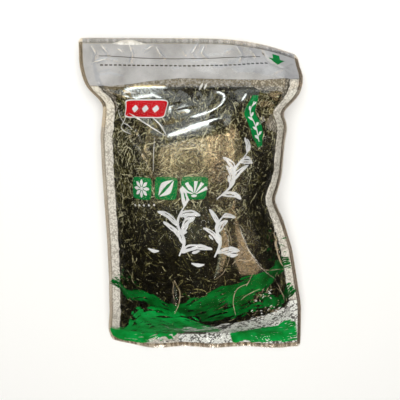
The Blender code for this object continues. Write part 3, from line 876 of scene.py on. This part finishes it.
def brushed(points, widths, bristles, seed, cover):
    """The streaks that a dry brush leaves along a line: side by side, each broken where its own wave is
    low, with more gaps in the outer streaks. cover is how wet the brush is."""
    line, width, aside = spine(points, widths)
    steps = np.arange(len(line))
    rng = np.random.default_rng(seed)
    streaks = []
    for place in np.linspace(-0.5, 0.5, bristles):
        wet = waves(steps, rng.uniform(7, 40, 4), rng.integers(1000)) + rng.uniform(-0.1, 0.1)
        wet = wet + cover * (1 - (2 * abs(place)) ** 4) - 0.28
        sway = place + 0.5 / bristles * waves(steps, (17, 29), rng.integers(1000))
        track = line + aside * (sway * width)[:, None]
        runs = np.flatnonzero(np.diff(np.concatenate([[0], (wet > 0).astype(int), [0]])))
        for start, stop in runs.reshape(-1, 2):
            if stop - start < 4:
                continue
            thick = width[start:stop].mean() / MM / bristles * 1.55
            body = np.full(stop - start, thick)
            body[:2], body[-2:] = (0.3 * thick, 0.8 * thick), (0.8 * thick, 0.3 * thick)
            seed_here = int(rng.integers(1000))
            streaks.append(stroke(track[start:stop] / MM, body, ragged=0.3, seed=seed_here))
    return streaks


def brush_bands(bands):
    """All the streaks of several brushed bands."""
    return [streak for band in bands for streak in brushed(*band)]


def flecks(areas, rng):
    """Short brush marks at random places in areas, in millimetres: for each, two corners, the count, the
    ranges of length and width, and the mean and spread of their slopes."""
    marks = []
    for low, high, count, lengths, widths, lean in areas:
        for f, y in rng.uniform(low, high, (count, 2)):
            length, slope = rng.uniform(*lengths), rng.normal(*lean)
            middle = (f + length / 2, y + slope * length / 2 + 0.4)
            end = (f + length, y + slope * length)
            marks.append(stroke([(f, y), middle, end], [0.3, rng.uniform(*widths), 0.3]))
    return marks


# The prints

LAYER_STEP, PRINT_THICKNESS = 0.13 * MM, 0.03 * MM
BAND_EDGE, BAND_TOP, PRINT_FOOT = 91.6 * MM, 140 * MM, -139.6 * MM
STRIP_INSIDE, FOOT_STRIP_TOP = 84.8 * MM, -129 * MM
LEFT_STRIP_TOP, RIGHT_STRIP_FOOT, RIGHT_STRIP_TOP = 104.9 * MM, -88.5 * MM, 110.8 * MM
WELD_START, PALE_MARGIN_TOP = -26 * MM, 88 * MM
HEADER_LOW = [
    (-92, 105.6), (-74, 104.8), (-56, 106.2), (-38, 108.7), (-12, 111), (23, 110.3), (58, 109.4),
    (92, 111.6),
]
WELD_TOP = [(-26, -130), (0, -129), (8, -122), (15, -116), (24, -100), (36, -96), (62, -93), (92, -89)]

# Patches of brown weld: left and right sides, and tables of the lower and upper edges
BROWN_WELDS = [
    (-82.6, -77, [(-84.6, 77), (-81, 84), (-79, 95)], [(-84.6, 104.6), (-77, 104.6)]),
    (50, 82.6, [(50, 105.5), (56, 101.5), (78, 99.5), (85, 96)], [(50, 109.3), (58, 109.1), (85, 110.8)]),
    (68, 82.6, [(69.5, 73), (72, 70), (83.5, 66), (85, 60)], [(69.5, 74.5), (75.5, 79), (85, 84)]),
]

# The thin line and the row of dashes on the header, and the arrow above its right end
TEAR_LINE = [(-78, 130), (-60, 129.2), (-40, 128), (-18, 127.3), (12, 127.8), (42, 129.8), (60, 132.5)]
DASH_LINE = (-76, 0, 40, 66), (122.2, 121.2, 122.6, 126.4)
DASH_SPACING, DASH_SIZE = 3.9, (2.5, 1.2)
ARROW = [
    ([(74.5, 138), (74.5, 134.5), (74.5, 131.5)], [6.2]),
    ([(74.5, 133), (74.5, 129.5), (74.5, 126)], [14.5, 7.5, 1.0]),
]

TAG, TAG_SIZE, TAG_BORDER_SIZE, TAG_POWER = (-48, 86.6), (43, 13.2), (43.6, 13.8), 7
BADGE = [(54.5, 97), (54.5, 88), (56, 78), (57.6, 68), (60, 56)], [5.5, 9.5, 12.5, 14, 12.5, 5]
TILES = [(-43.2, 23.2), (-20.4, 24.6), (2.2, 25.4)]
TILE_SIZE, TILE_POWER = (19.6, 18.4), 9

# Brushed bands: points, widths at even stations, bristles, seed, and how wet the brush is
GREEN_WAVES = [
    ([(-93, -69), (-72, -77), (-50, -75), (-26, -84), (-4, -79), (20, -68), (46, -62), (68, -55), (91, -51)],
     [7, 9, 12, 16, 20, 19, 14, 11], 15, 1, 0.72),
    ([(-4, -92), (16, -86), (34, -80), (54, -80), (74, -84), (91, -76)], [8, 16, 18, 16, 13, 12],
     13, 4, 0.5),
]
GREEN_FOOT = [
    ([(-93, -134), (-78, -132), (-62, -124), (-48, -113), (-34, -108), (-18, -108), (0, -113), (14, -118)],
     [14, 20, 36, 52, 54, 42, 22, 8], 31, 2, 0.95),
    ([(26, -134), (48, -129), (70, -126), (91, -124)], [12, 22, 26, 28], 19, 3, 1.25),
]
SILVER = [
    ([(-36, -109), (-16, -112), (4, -111), (26, -104)], [4, 12, 16, 10], 12, 21, 0.22),
    ([(-58, -137), (-44, -135.5), (-30, -136)], [2, 4, 5], 4, 22, 0.3),
]

# Flecks, as their function reads them
GREEN_FLECKS = [
    ((-90, -68), (-56, -58), 14, (1.5, 5.5), (0.6, 1.3), (0.1, 0.4)),
    ((56, -48), (90, -18), 16, (1.5, 5.5), (0.6, 1.3), (0.1, 0.4)),
    ((-30, -74), (20, -64), 7, (1.5, 5.5), (0.6, 1.3), (0.1, 0.4)),
]
# The pale flecks are painted glints
PAINTED_GLINT_FLECKS = [
    ((40, -78), (58, -68), 9, (1.0, 2.6), (0.5, 1.3), (0.3, 0.6)),
    ((36, -96), (66, -86), 18, (1.0, 3.4), (0.5, 1.6), (0.2, 0.5)),
]
# The tan flecks are painted glints of warm light
PAINTED_WARM_GLINTS = [
    ((40, -78), (58, -68), 13, (1.2, 3.4), (0.5, 1.2), (0.2, 0.5)),
    ((36, -96), (64, -86), 18, (1.2, 3.4), (0.5, 1.2), (0.2, 0.5)),
]

# Painted highlights: pale strips along sharp folds where the film catches the light: width and points. First
# those on the left, on the header and above the fill, with a wider painted glare at the top edge and one
# fold from each of the deeper dents
PAINTED_HIGHLIGHT_FOLDS = [
    (0.8, [(-66.5, 82.5), (-69.5, 76), (-71, 71.5), (-66, 68.5), (-57, 66)]),
    (0.6, [(-69.5, 75), (-63, 73), (-57.5, 70)]),
    (0.8, [(-65, 83), (-54, 79), (-37, 71.5), (-23, 65.5)]),
    (0.7, [(-38.5, 80), (-30, 74), (-22.5, 66)]),
    (0.4, [(-33, 64.5), (-32.5, 52.5), (-32, 38)]),
    (0.5, [(-79, 85.5), (-75, 81), (-70.5, 76)]),
    (0.5, [(46, 98), (44, 95), (42, 93)]),
    (1.4, [(8, 107), (3.5, 101)]),
    (1.1, [(11.5, 107), (8, 101.5)]),
    (1.3, [(-67, 98.5), (-61, 100), (-54, 98.5)]),
    (3.2, [(-66, 140), (-52, 141), (-38, 139.5)]),
    *[(0.5, points[:2]) for height, _, points in DENTS if height > 0.55],
]

# Then painted reflections on the right and at the foot: tan strips that stand in for a warm room mirrored in
# folds
PAINTED_WARM_REFLECTIONS = [
    (1.7, [(84, -2), (81, -19), (76, -34.5), (78, -48), (81, -56)]),
    (0.5, [(52, -49), (62, -52.5), (82.5, -57.5)]),
    (0.8, [(39, -14.5), (41.5, -27), (45.5, -40), (53.5, -49.5), (66.5, -63)]),
    (0.5, [(26, -3.5), (29, -16.5), (27, -28), (18.5, -46.5), (10, -54)]),
    (0.6, [(37.5, -60), (27, -64), (22.5, -75), (23.5, -88.5)]),
    (0.6, [(43, -50.5), (39, -57), (35, -62.5)]),
    (0.6, [(-22, -55), (-18.5, -65.5), (-20, -77), (-24, -87)]),
    (0.5, [(-22, -55), (-24, -66.5), (-22, -79)]),
    (0.7, [(67, -66.5), (71, -77), (75, -87)]),
    (0.6, [(47, -66.5), (34, -71), (29, -74.5)]),
    (0.8, [(25.5, -41.5), (30, -38), (38, -39.5), (44.5, -38.5)]),
]


def lay_print(name, shapes, layer, material, web):
    """One piece from all the prints of a colour: each shape becomes a thin closed sheet inside the film.
    layer is 1, 0 or -1 from the outside in."""
    sheets, flats = [], []
    for shape in shapes:
        points, normals = web.at(shape[..., 0], shape[..., 1])
        middle = points + normals * layer * web.side * LAYER_STEP
        half = normals * PRINT_THICKNESS / 2
        corners, faces = closed_sheet(middle + half, middle - half)
        facing = np.cross(middle[1, 0] - middle[0, 0], middle[0, 1] - middle[0, 0]) @ normals[0, 0]
        sheets.append((corners, faces[:, ::-1] if facing > 0 else faces))
        flats += [shape.reshape(-1, 2)] * 2
    piece = add_piece(name, *join(sheets), material, "film")
    give_flat_uv(piece, np.concatenate(flats))


def header_band():
    """Flat places of the milky band across the header, whose lower edge bends."""
    return block(-BAND_EDGE, BAND_EDGE, along_table(HEADER_LOW), BAND_TOP)


def print_seals(web, inks):
    """The milky band of the header, the dotted seals, and the brown and the bright weld."""
    lay_print("header_band_front", [header_band()], -1, inks["milk"], web)
    strips = [
        side_strip(-1, PRINT_FOOT, LEFT_STRIP_TOP),
        side_strip(1, RIGHT_STRIP_FOOT, RIGHT_STRIP_TOP),
        block(-STRIP_INSIDE + 2.4 * MM, WELD_START - 0.2 * MM, PRINT_FOOT, FOOT_STRIP_TOP),
    ]
    lay_print("dotted_seals_front", strips, -1, inks["seal"], web)
    brown = [
        block(left * MM, right * MM, along_table(low), along_table(high))
        for left, right, low, high in BROWN_WELDS
    ]
    lay_print("brown_weld_front", brown, -1, inks["brown weld"], web)
    bright = block(WELD_START, BAND_EDGE, PRINT_FOOT, along_table(WELD_TOP))
    lay_print("bright_weld_front", [bright], -1, inks["weld"], web)


def print_margins(web, inks):
    """The clear strips round the edge: smoky at the header's left and all down the right, frosted along the
    top, pale down the rest of the left, and streaked along the foot."""
    gap, rim = 0.2 * MM, 0.3 * MM
    outside, inside = HALF_FLAT - rim, BAND_EDGE + gap
    foot, head = BOTTOM_EDGE + CORNER_RADIUS, TOP_EDGE - CORNER_RADIUS
    smoky = [
        block(-outside, -inside, PALE_MARGIN_TOP + 0.1 * MM, head),
        block(inside, outside, foot, head),
    ]
    lay_print("smoky_margin", smoky, -1, inks["smoky"], web)
    frosted = block(-BAND_EDGE, BAND_EDGE, BAND_TOP + rim, TOP_EDGE - rim)
    lay_print("frosted_margin", [frosted], -1, inks["frosted"], web)
    pale = block(-outside, -inside, foot, PALE_MARGIN_TOP)
    lay_print("pale_margin", [pale], -1, inks["pale"], web)
    streaked = block(-BAND_EDGE, BAND_EDGE, BOTTOM_EDGE + rim, PRINT_FOOT - gap)
    lay_print("streaked_margin", [streaked], -1, inks["streaked"], web)


def print_colours(web, inks, rng):
    """The marks on the header, the green prints, the brushed bands at the foot and the streaks on them."""
    marks = [(f, np.interp(f, *DASH_LINE)) for f in np.arange(-76, 66, DASH_SPACING)]
    lay_print("dark_marks", [stroke(TEAR_LINE, [0.55]), *dashes(marks, DASH_SIZE)], 0, inks["dark"], web)
    greens = [*(stroke(*part) for part in ARROW), stroke(*BADGE, ragged=0.2)]
    greens += [disc(tile, TILE_SIZE, TILE_POWER) for tile in TILES]
    lay_print("green_prints", greens, 0, inks["green"], web)
    waves_of_green = brush_bands(GREEN_WAVES) + flecks(GREEN_FLECKS, rng)
    lay_print("green_waves", waves_of_green, 0, inks["deep green"], web)
    lay_print("green_foot", brush_bands(GREEN_FOOT), 0, inks["foot green"], web)
    lay_print("silver_flecks", brush_bands(SILVER), 1, inks["weld"], web)


def print_painted_highlights(web, inks, rng):
    """Painted highlights: thin pale strips along sharp folds and pale flecks at the foot; then painted
    reflections:
    tan strips along folds and tan flecks at the foot.
    """
    pale = [stroke(fold, [0.4, 1.25 * width, 1.25 * width, 0.4]) for width, fold in PAINTED_HIGHLIGHT_FOLDS]
    lay_print("painted_highlight_folds", pale + flecks(PAINTED_GLINT_FLECKS, rng), 1, inks["painted highlight"], web)
    warm = [stroke(fold, [0.3, width, width, 0.3]) for width, fold in PAINTED_WARM_REFLECTIONS]
    lay_print("painted_warm_reflections", warm + flecks(PAINTED_WARM_GLINTS, rng), 1, inks["painted warm reflection"], web)


def print_tag_and_whites(web, inks):
    """The red tag, and all that is white: its border and lozenges, the motifs, the sprigs and a row of
    dots."""
    lay_print("red_tag", [disc(TAG, TAG_SIZE, TAG_POWER, 48)], 0, inks["red"], web)
    whites = [outline(TAG, TAG_BORDER_SIZE, TAG_POWER, 0.9)]
    whites += [disc((TAG[0] + shift, TAG[1]), (7.2, 6.0), 1.1, 16) for shift in (-11, 0, 11)]
    whites += tile_motifs() + badge_motif() + fronds()
    whites += [disc((f, 8 + 0.13 * (f + 51)), (2.0, 2.0), 2, 12) for f in np.arange(-51, -29, 5.2)]
    lay_print("white_prints", whites, 1, inks["white"], web)


def petals(count, centre, reach, size):
    """Petals round a centre: each a stroke that swells halfway out."""
    ring = []
    for angle in (2 * math.pi * number / count for number in range(count)):
        out = [
            (centre[0] + share * reach * math.cos(angle), centre[1] + share * reach * math.sin(angle))
            for share in (0.22, 0.65, 1)
        ]
        ring.append(stroke(out, [0.5, size, 0.8]))
    return ring


def tile_motifs():
    """White motifs on the three green tiles: a rosette, a leaf with its midrib left open, and a fan-shaped
    shell."""
    (af, ay), (bf, by), (cf, cy) = TILES
    rosette = [*petals(8, (af, ay), 7.6, 3.4), disc((af, ay), (2.8, 2.8))]
    leaf = []
    for side in (-1, 1):
        foot = (bf - 5.6 + side * 0.5, by - 6.2 - side * 0.5)
        tip = (bf + 5.9 + side * 0.4, by + 6.5 - side * 0.4)
        leaf.append(stroke([foot, (bf + side * 2.4, by - side * 2.4), tip], [0.6, 4.6, 0.6]))
    shell = []
    for angle in np.radians([32, 61, 90, 119, 148]):
        rib = [(cf + r * math.cos(angle), cy - 5.6 + r * math.sin(angle)) for r in (1.6, 6.5, 11.2)]
        shell.append(stroke(rib, [0.5, 2.0, 3.1]))
    shell.append(disc((cf, cy - 6.2), (4.6, 2.2)))
    return rosette + leaf + shell


def badge_motif():
    """A white sprig up the middle of the green badge."""
    stem = [stroke([(59, 60), (57, 70), (55.8, 80), (55, 92)], [0.8, 1.1, 0.7])]
    leaves = [
        stroke([(f, y), (f + side * 2.4, y + 2.2), (f + side * 4.2, y + 3.2)], [0.6, 2.4, 0.5])
        for f, y, side in (
            (58.6, 62, -1), (58.2, 65, 1), (57.4, 69, -1), (56.9, 72.5, 1), (56.4, 77, -1),
            (55.9, 80.5, 0.8), (55.5, 85, -0.7), (55.2, 88.5, 0.6),
        )
    ]
    return stem + leaves


def sprig(stem, leaves, length, width, seed):
    """A stem with leaves on alternate sides, painted with a dry brush: each leaf leaves the stem forwards,
    bends outwards and ends in a point, and they are shorter towards the tip."""
    line, share = smooth_line(stem)
    line = line / MM
    painted = [stroke(stem, [1.0, 2.6, 2.2, 0.8])]
    for number, place in enumerate(np.linspace(0.1, 0.97, leaves)):
        foot, near, back = (
            np.array([np.interp(there, share, line[:, axis]) for axis in (0, 1)])
            for there in (place, min(place + 0.03, 1), place - 0.03)
        )
        ahead = (near - back) / np.linalg.norm(near - back)
        aside = np.array([-ahead[1], ahead[0]]) * (1 if number % 2 else -1)
        size = length * (1 - 0.45 * place)
        leaf = ((0, 0), (0.3, 0.22), (0.55, 0.55), (0.68, 0.95))
        path = [foot + size * (forward * ahead + out * aside) for forward, out in leaf]
        widths = [0.3 * width, width, 0.9 * width, 0.12 * width]
        painted += brushed(path, widths, 5, seed + number + 1, 1.9)
    return painted


def fronds():
    """Three white sprigs of seaweed across the middle, and loose scraps below them."""
    low = sprig([(-16, -33), (-10, -20), (-12, -4), (-2, 12)], 6, 23, 7.4, 70)
    right = sprig([(12, -34), (19, -22), (19, -8), (28, 2)], 5, 18, 6.4, 84)
    high = sprig([(22, 16), (33, 27), (34, 40), (46, 53)], 6, 18, 6.2, 95)
    scraps = [
        stroke([(f - 5, y + 1), (f, y - 0.6), (f + 5, y)], [1, 3.6, 1])
        for f, y in ((-38, -30), (-2, -40), (27, -33))
    ]
    return low + right + high + scraps


def print_the_front(web, inks):
    """All the printing of the front web."""
    rng = np.random.default_rng(8)
    print_seals(web, inks)
    print_margins(web, inks)
    print_colours(web, inks, rng)
    print_painted_highlights(web, inks, rng)
    print_tag_and_whites(web, inks)


def print_the_back(web, inks):
    """The milky band and the dotted seals of the back web."""
    lay_print("header_band_back", [header_band()], 0, inks["milk"], web)
    within = STRIP_INSIDE - 0.2 * MM
    strips = [
        block(-BAND_EDGE, -STRIP_INSIDE, PRINT_FOOT, LEFT_STRIP_TOP),
        block(STRIP_INSIDE, BAND_EDGE, PRINT_FOOT, RIGHT_STRIP_TOP),
        block(-within, within, PRINT_FOOT, FOOT_STRIP_TOP),
    ]
    lay_print("dotted_seals_back", strips, 0, inks["seal"], web)


# The nori

NORI_REGION, SCRAPS_REGION = np.array([(-84, -123), (84, 101)]), np.array([(-70, 92), (82, 106)])
NORI_TOP, CORE_TOP, SCRAPS_TOP, CRUMBS_TOP = 95, 88, 102, 108
CORE_GRID, CORE_FOOT, CORE_TONE = (108, 82), -121 * MM, 0.12
SHRED_HALF_THICKNESS, SHRED_TIP = 0.09 * MM, 0.45
NORI_TONES = [
    (0.0, (0.0008, 0.0007, 0.0002)),
    (0.42, (0.0028, 0.0024, 0.0006)),
    (0.62, (0.015, 0.0135, 0.0035)),
    (0.75, (0.062, 0.056, 0.015)),
    (0.87, (0.2, 0.184, 0.068)),
    (1.0, (0.62, 0.6, 0.4)),
]

# Shreds near the front web: how many, in how many steps, the ranges of depth, length and width, and the
# region, upper edge or tones of those that differ from the rest
FRONT_NORI = [
    dict(name="nori_shreds_front_long", count=6900, steps=3, depths=(0.5, 3.6), lengths=(6, 16),
         widths=(0.6, 1.05), seed=50),
    dict(name="nori_shreds_front_short", count=9600, steps=2, depths=(0.45, 2.4), lengths=(4, 9),
         widths=(0.45, 0.8), seed=51),
    dict(name="nori_scraps", count=230, steps=2, depths=(0.3, 1.4), lengths=(2, 8),
         widths=(0.45, 0.8), seed=52, region=SCRAPS_REGION, top=SCRAPS_TOP),
    dict(name="nori_crumbs", count=900, steps=2, depths=(0.3, 1.0), lengths=(0.7, 1.8),
         widths=(0.5, 0.9), seed=53, region=SCRAPS_REGION, top=CRUMBS_TOP),
    # The glints are pale shreds just under the film: painted glints, where light would catch curled edges
    dict(name="nori_glints", count=2600, steps=1, depths=(0.3, 0.7), lengths=(1.2, 3),
         widths=(0.7, 1.1), seed=54, tones=(0.78, 1.04)),
]
BACK_NORI = dict(name="nori_shreds_back", count=3000, steps=3, depths=(0.5, 3.6), lengths=(8, 24),
                 widths=(0.8, 1.3), seed=60)


def inside_pouch(near, far, f, y, depth):
    """Points at a depth below one web, on the straight line to the other at the same flat place, and the
    near web's normals. The depth is held to less than half the way."""
    top, normal = near.at(f, y)
    bottom, _ = far.at(f, y)
    gap = np.linalg.norm(bottom - top, axis=-1)
    share = np.minimum(depth / np.maximum(gap, 0.1 * MM), 0.49)
    return top + (bottom - top) * share[..., None], normal


def nori_edge(f, top):
    """The uneven upper edge of the nori, round a height in millimetres."""
    return top * MM + 4.5 * MM * waves(f / MM, (17, 31, 53), 43)


def pull_inside(f, y, margin):
    """Moves flat places into the part of the pouch that is thick enough to hold nori: off both ends, and in
    from the sides by a share that grows as the fill gets thinner."""
    y = np.clip(y, -123 * MM, 104 * MM)
    reach = HALF_INSIDE * (1 - margin / (126 * MM * np.maximum(fill(y), 0.05)))
    return np.clip(f, -reach, reach), y


def painted_shade_power(f, y):
    """Painted shade: the power that a shred's tone is raised to, so that fewer shreds are pale where it is
    high, which shades the nori towards the foot and on the right flank and lights it on the left: 0.7, less
    0.14 on the left, plus the larger of 1.6 towards the foot and 1.35 on the right flank."""
    f, y = f / MM, y / MM
    low = 1 - eased((y + 45) / 70)
    right = eased((f - 48) / 20) * (1 - eased((y - 45) / 20))
    left = eased((-f - 30) / 30)
    return 0.7 - 0.14 * left + np.maximum(1.6 * low, 1.35 * right)


def shred_faces(count, steps):
    """The faces of this many strips, each of four-cornered rings joined by walls and closed at its ends."""
    corners = 4 * (steps + 1)
    number = np.arange(corners).reshape(-1, 4)
    turned = np.roll(number, -1, axis=1)
    walls = np.stack([number[:-1], turned[:-1], turned[1:], number[1:]], axis=-1).reshape(-1, 4)
    shred = np.concatenate([walls, number[:1, ::-1], number[-1:]])
    return (shred[None] + corners * np.arange(count)[:, None, None]).reshape(-1, 4)


def make_shreds(near, far, material, name, count, steps, depths, lengths, widths, seed,
                region=NORI_REGION, top=NORI_TOP, tones=(0, 1)):
    """Shreds of nori near one web and below the nori's upper edge, as flat strips of this many steps: each
    follows a bent line in the flat measure, at a depth that drifts along it, and is twisted a little off
    the surface. Its tone is drawn between two, with more near the ends, and darkened by its place as painted
    shade towards the foot and on the right flank."""
    rng = np.random.default_rng(seed)
    centre = rng.uniform(*region, (count, 2)) * MM
    centre = centre[centre[:, 1] < nori_edge(centre[:, 0], top)]
    count = len(centre)
    heading = rng.uniform(0, math.pi, count)
    length = rng.uniform(*lengths, count)[:, None, None] * MM
    t = np.linspace(-0.5, 0.5, steps + 1)[None, :]
    ahead = np.stack([np.cos(heading), np.sin(heading)], axis=-1)[:, None]
    aside = np.stack([-np.sin(heading), np.cos(heading)], axis=-1)[:, None]
    bend = rng.normal(0, 0.11, count)[:, None] * 4 * t**2
    bend = bend + rng.normal(0, 0.25, count)[:, None] * t**3
    flat = centre[:, None] + length * (t[..., None] * ahead + bend[..., None] * aside)
    f, y = pull_inside(flat[..., 0], flat[..., 1], 1.2 * MM)
    start = depths[0] + (depths[1] - depths[0]) * rng.random(count)[:, None] ** 1.5
    drift = rng.normal(0, 1.1, count)[:, None] * t * 2
    drift = drift + rng.uniform(-0.6, 1.2, count)[:, None] * (4 * t**2 - 0.5)
    points, normal = inside_pouch(near, far, f, y, np.maximum(start + drift, depths[0]) * MM)
    along = unit(np.gradient(points, axis=1))
    level = unit(np.cross(normal, along))
    upright = np.cross(along, level)
    twist = (rng.normal(0, 0.3, count)[:, None] + rng.normal(0, 0.5, count)[:, None] * t)[..., None]
    sideways = np.cos(twist) * level + np.sin(twist) * upright
    upward = np.cos(twist) * upright - np.sin(twist) * level
    taper = np.where(np.abs(t) == 0.5, SHRED_TIP, 1)[..., None]
    half = sideways * (rng.uniform(*widths, count)[:, None, None] * MM * taper) / 2
    thick = upward * SHRED_HALF_THICKNESS
    rings = [points + half + thick, points - half + thick, points - half - thick, points + half - thick]
    corners = np.stack(rings, axis=2).reshape(-1, 3)
    piece = add_piece(name, corners, shred_faces(count, steps), material, "nori")
    # Painted shade: shreds darker towards the foot and on the right flank, paler on the left
    power = painted_shade_power(*centre.T)
    tone = tones[0] + (tones[1] - tones[0]) * rng.beta(0.6, 0.85, count)
    tone = tone**power * (1.06 - 0.06 * power)
    give_number(piece, "tone", np.repeat(tone, 4 * (steps + 1)))


def make_core(front, back, material):
    """The matted inside of the nori, which fills the pouch behind the loose shreds on its surface."""
    rows, columns = CORE_GRID
    across, up = np.meshgrid(np.linspace(-1, 1, columns), np.linspace(0, 1, rows))
    y = CORE_FOOT + up * (nori_edge(across * HALF_INSIDE, CORE_TOP) - CORE_FOOT)
    reach, y = pull_inside(np.full_like(up, HALF_INSIDE), y, 3.2 * MM)
    f = across * reach
    lumps = 1.2 * pillows(f / MM, y / MM, *NORI_LUMPS) * MM
    top, _ = inside_pouch(front, back, f, y, 3.4 * MM + lumps)
    bottom, _ = inside_pouch(back, front, f, y, 3.0 * MM + lumps)
    piece = add_piece("nori_core", *closed_sheet(top, bottom), material, "nori", ["nori"])
    give_number(piece, "tone", np.full(len(piece.data.vertices), CORE_TONE))


# The stage

FLOOR_HALF, FLOOR_LEVEL = 6.0, -0.3 * MM

# Lamps: azimuth, elevation, distance, size, watts, colour, and whether each lights what is matt and shows
# in the film
LAMPS = {
    "fill": (0, 78, 1.3, (1.2, 1.2), 24, (1.0, 0.99, 0.97), True, False),
    "key": (-8, 24, 0.9, (0.75, 0.56), 2.4, (0.93, 1.0, 0.98), False, True),
    "warm": (-20, 62, 1.0, (1.35, 0.74), 5.0, (1.0, 0.81, 0.45), False, True),
    "warm_side": (48, 52, 1.0, (0.6, 0.5), 1.4, (1.0, 0.71, 0.4), False, True),
    "low_warm": (114, 48, 1.1, (0.5, 0.56), 0.9, (1.0, 0.68, 0.34), False, True),
    "low_sky": (180, 74, 1.0, (0.9, 0.24), 0.5, (0.88, 1.0, 0.76), False, True),
    "right_glint": (90, 26, 1.2, (0.3, 0.45), 1.1, (1.0, 0.97, 0.85), False, True),
    "left_glint": (-90, 24, 1.2, (0.12, 0.35), 0.6, (1.0, 0.97, 0.85), False, True),
    "foot": (180, 40, 1.3, (0.3, 0.08), 0.8, (1.0, 0.99, 0.97), True, True),
}
LAMP_TARGET = Vector((0, 0, 0.03))

# The room: how bright it is from the horizon and below up to straight overhead, and its tint
ROOM_GREYS = [(0.0, 0.06), (0.03, 0.22), (0.12, 0.17), (0.35, 0.06), (1.0, 0.02)]
ROOM_TINT = np.array([1, 0.94, 0.78])

SENSOR, LENS, LENS_SHIFT = 36, 46.1, 0.0125
CAMERA_TILT, CAMERA_DISTANCE = math.radians(12), 450 * MM
CAMERA_TARGET = Vector((-2, 11.5, 25)) * MM
FILM_LAYERS = 48


def make_floor():
    """A wide pale floor, which the film doesn't mirror."""
    made = Finish("pale floor")
    mesh = bpy.data.meshes.new("floor")
    corners = [(-1, -1), (1, -1), (1, 1), (-1, 1)]
    points = [(x * FLOOR_HALF, y * FLOOR_HALF, FLOOR_LEVEL) for x, y in corners]
    mesh.from_pydata(points, [], [(0, 1, 2, 3)])
    mesh.materials.append(made.show(made.matt((0.94, 0.94, 0.93, 1), 0.8, 0.5)))
    floor = bpy.data.objects.new("floor", mesh)
    floor.visible_glossy = False
    bpy.context.scene.collection.objects.link(floor)


def add_softbox(name, azimuth, elevation, distance, size, watts, colour, lights, mirrored):
    """A rectangular lamp that looks at the pouch. Azimuth 0 is over its header and 90 to its right."""
    lamp = bpy.data.lights.new(name, "AREA")
    lamp.shape = "RECTANGLE"
    lamp.size, lamp.size_y = size
    lamp.energy = watts
    lamp.color = colour
    a, e = math.radians(azimuth), math.radians(elevation)
    toward = Vector((math.sin(a) * math.cos(e), math.cos(a) * math.cos(e), math.sin(e)))
    box = bpy.data.objects.new(name, lamp)
    box.location = LAMP_TARGET + toward * distance
    box.rotation_euler = toward.to_track_quat("Z", "Y").to_euler()
    box.visible_diffuse, box.visible_glossy = lights, mirrored
    bpy.context.scene.collection.objects.link(box)


def make_room():
    """A room round the stage that is pale low down and dim overhead."""
    world = bpy.data.worlds.new("room")
    bpy.context.scene.world = world
    world.use_nodes = True
    nodes, links = world.node_tree.nodes, world.node_tree.links
    nodes.clear()
    split = nodes.new("ShaderNodeSeparateXYZ")
    links.new(nodes.new("ShaderNodeTexCoord").outputs["Generated"], split.inputs[0])
    ramp = nodes.new("ShaderNodeValToRGB")
    links.new(split.outputs["Z"], ramp.inputs["Fac"])
    fill_ramp(ramp.color_ramp, [(place, grey * ROOM_TINT) for place, grey in ROOM_GREYS])
    background = nodes.new("ShaderNodeBackground")
    links.new(ramp.outputs["Color"], background.inputs["Color"])
    links.new(background.outputs[0], nodes.new("ShaderNodeOutputWorld").inputs["Surface"])


def place_camera():
    """A camera over the pouch, tipped towards its header, with the header at the top of the picture."""
    camera = bpy.data.objects.new("camera", bpy.data.cameras.new("camera"))
    camera.data.sensor_width = SENSOR
    camera.data.lens = LENS
    camera.data.shift_x, camera.data.shift_y = LENS_SHIFT, -LENS_SHIFT
    back = Vector((0, math.sin(CAMERA_TILT), math.cos(CAMERA_TILT)))
    camera.location = CAMERA_TARGET + CAMERA_DISTANCE * back
    camera.rotation_euler = (-CAMERA_TILT, 0, 0)
    bpy.context.scene.collection.objects.link(camera)
    bpy.context.scene.camera = camera


def set_the_stage():
    """The camera, the floor, the lamps and the room. Light may pass all the layers of clear film."""
    place_camera()
    make_floor()
    for name, settings in LAMPS.items():
        add_softbox(name, *settings)
    make_room()
    bpy.context.scene.view_settings.view_transform = "Standard"
    bpy.context.scene.cycles.transparent_max_bounces = FILM_LAYERS


def main():
    set_the_stage()
    front, back = Web(1, FRONT_GRID), Web(-1, BACK_GRID)
    inks = make_inks()
    clear = clear_film("clear film", (0.96, 0.94, 0.91), (0.965, 0.96, 0.95), 0.09)
    make_web("front_film", front, clear, ["film_front"])
    print_the_front(front, inks)
    print_the_back(back, inks)
    smoky = clear_film("smoky film", (0.88, 0.86, 0.83), (0.57, 0.55, 0.515), 0.12)
    make_web("back_film", back, smoky, ["film_back"])

    nori = nori_finish("roasted nori", NORI_TONES)
    make_core(front, back, nori)
    for shreds in FRONT_NORI:
        make_shreds(front, back, nori, **shreds)
    make_shreds(back, front, nori, **BACK_NORI)

    zip_plastic = misty_print("zip plastic", (0.5, 0.5, 0.5), (0.08, 0.075, 0.06), (0.3, 0.62), 430.0)
    for node in ("zip_rib", "zip_groove"):
        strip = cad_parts[node]
        strip.data.materials.clear()
        strip.data.materials.append(zip_plastic)


main()
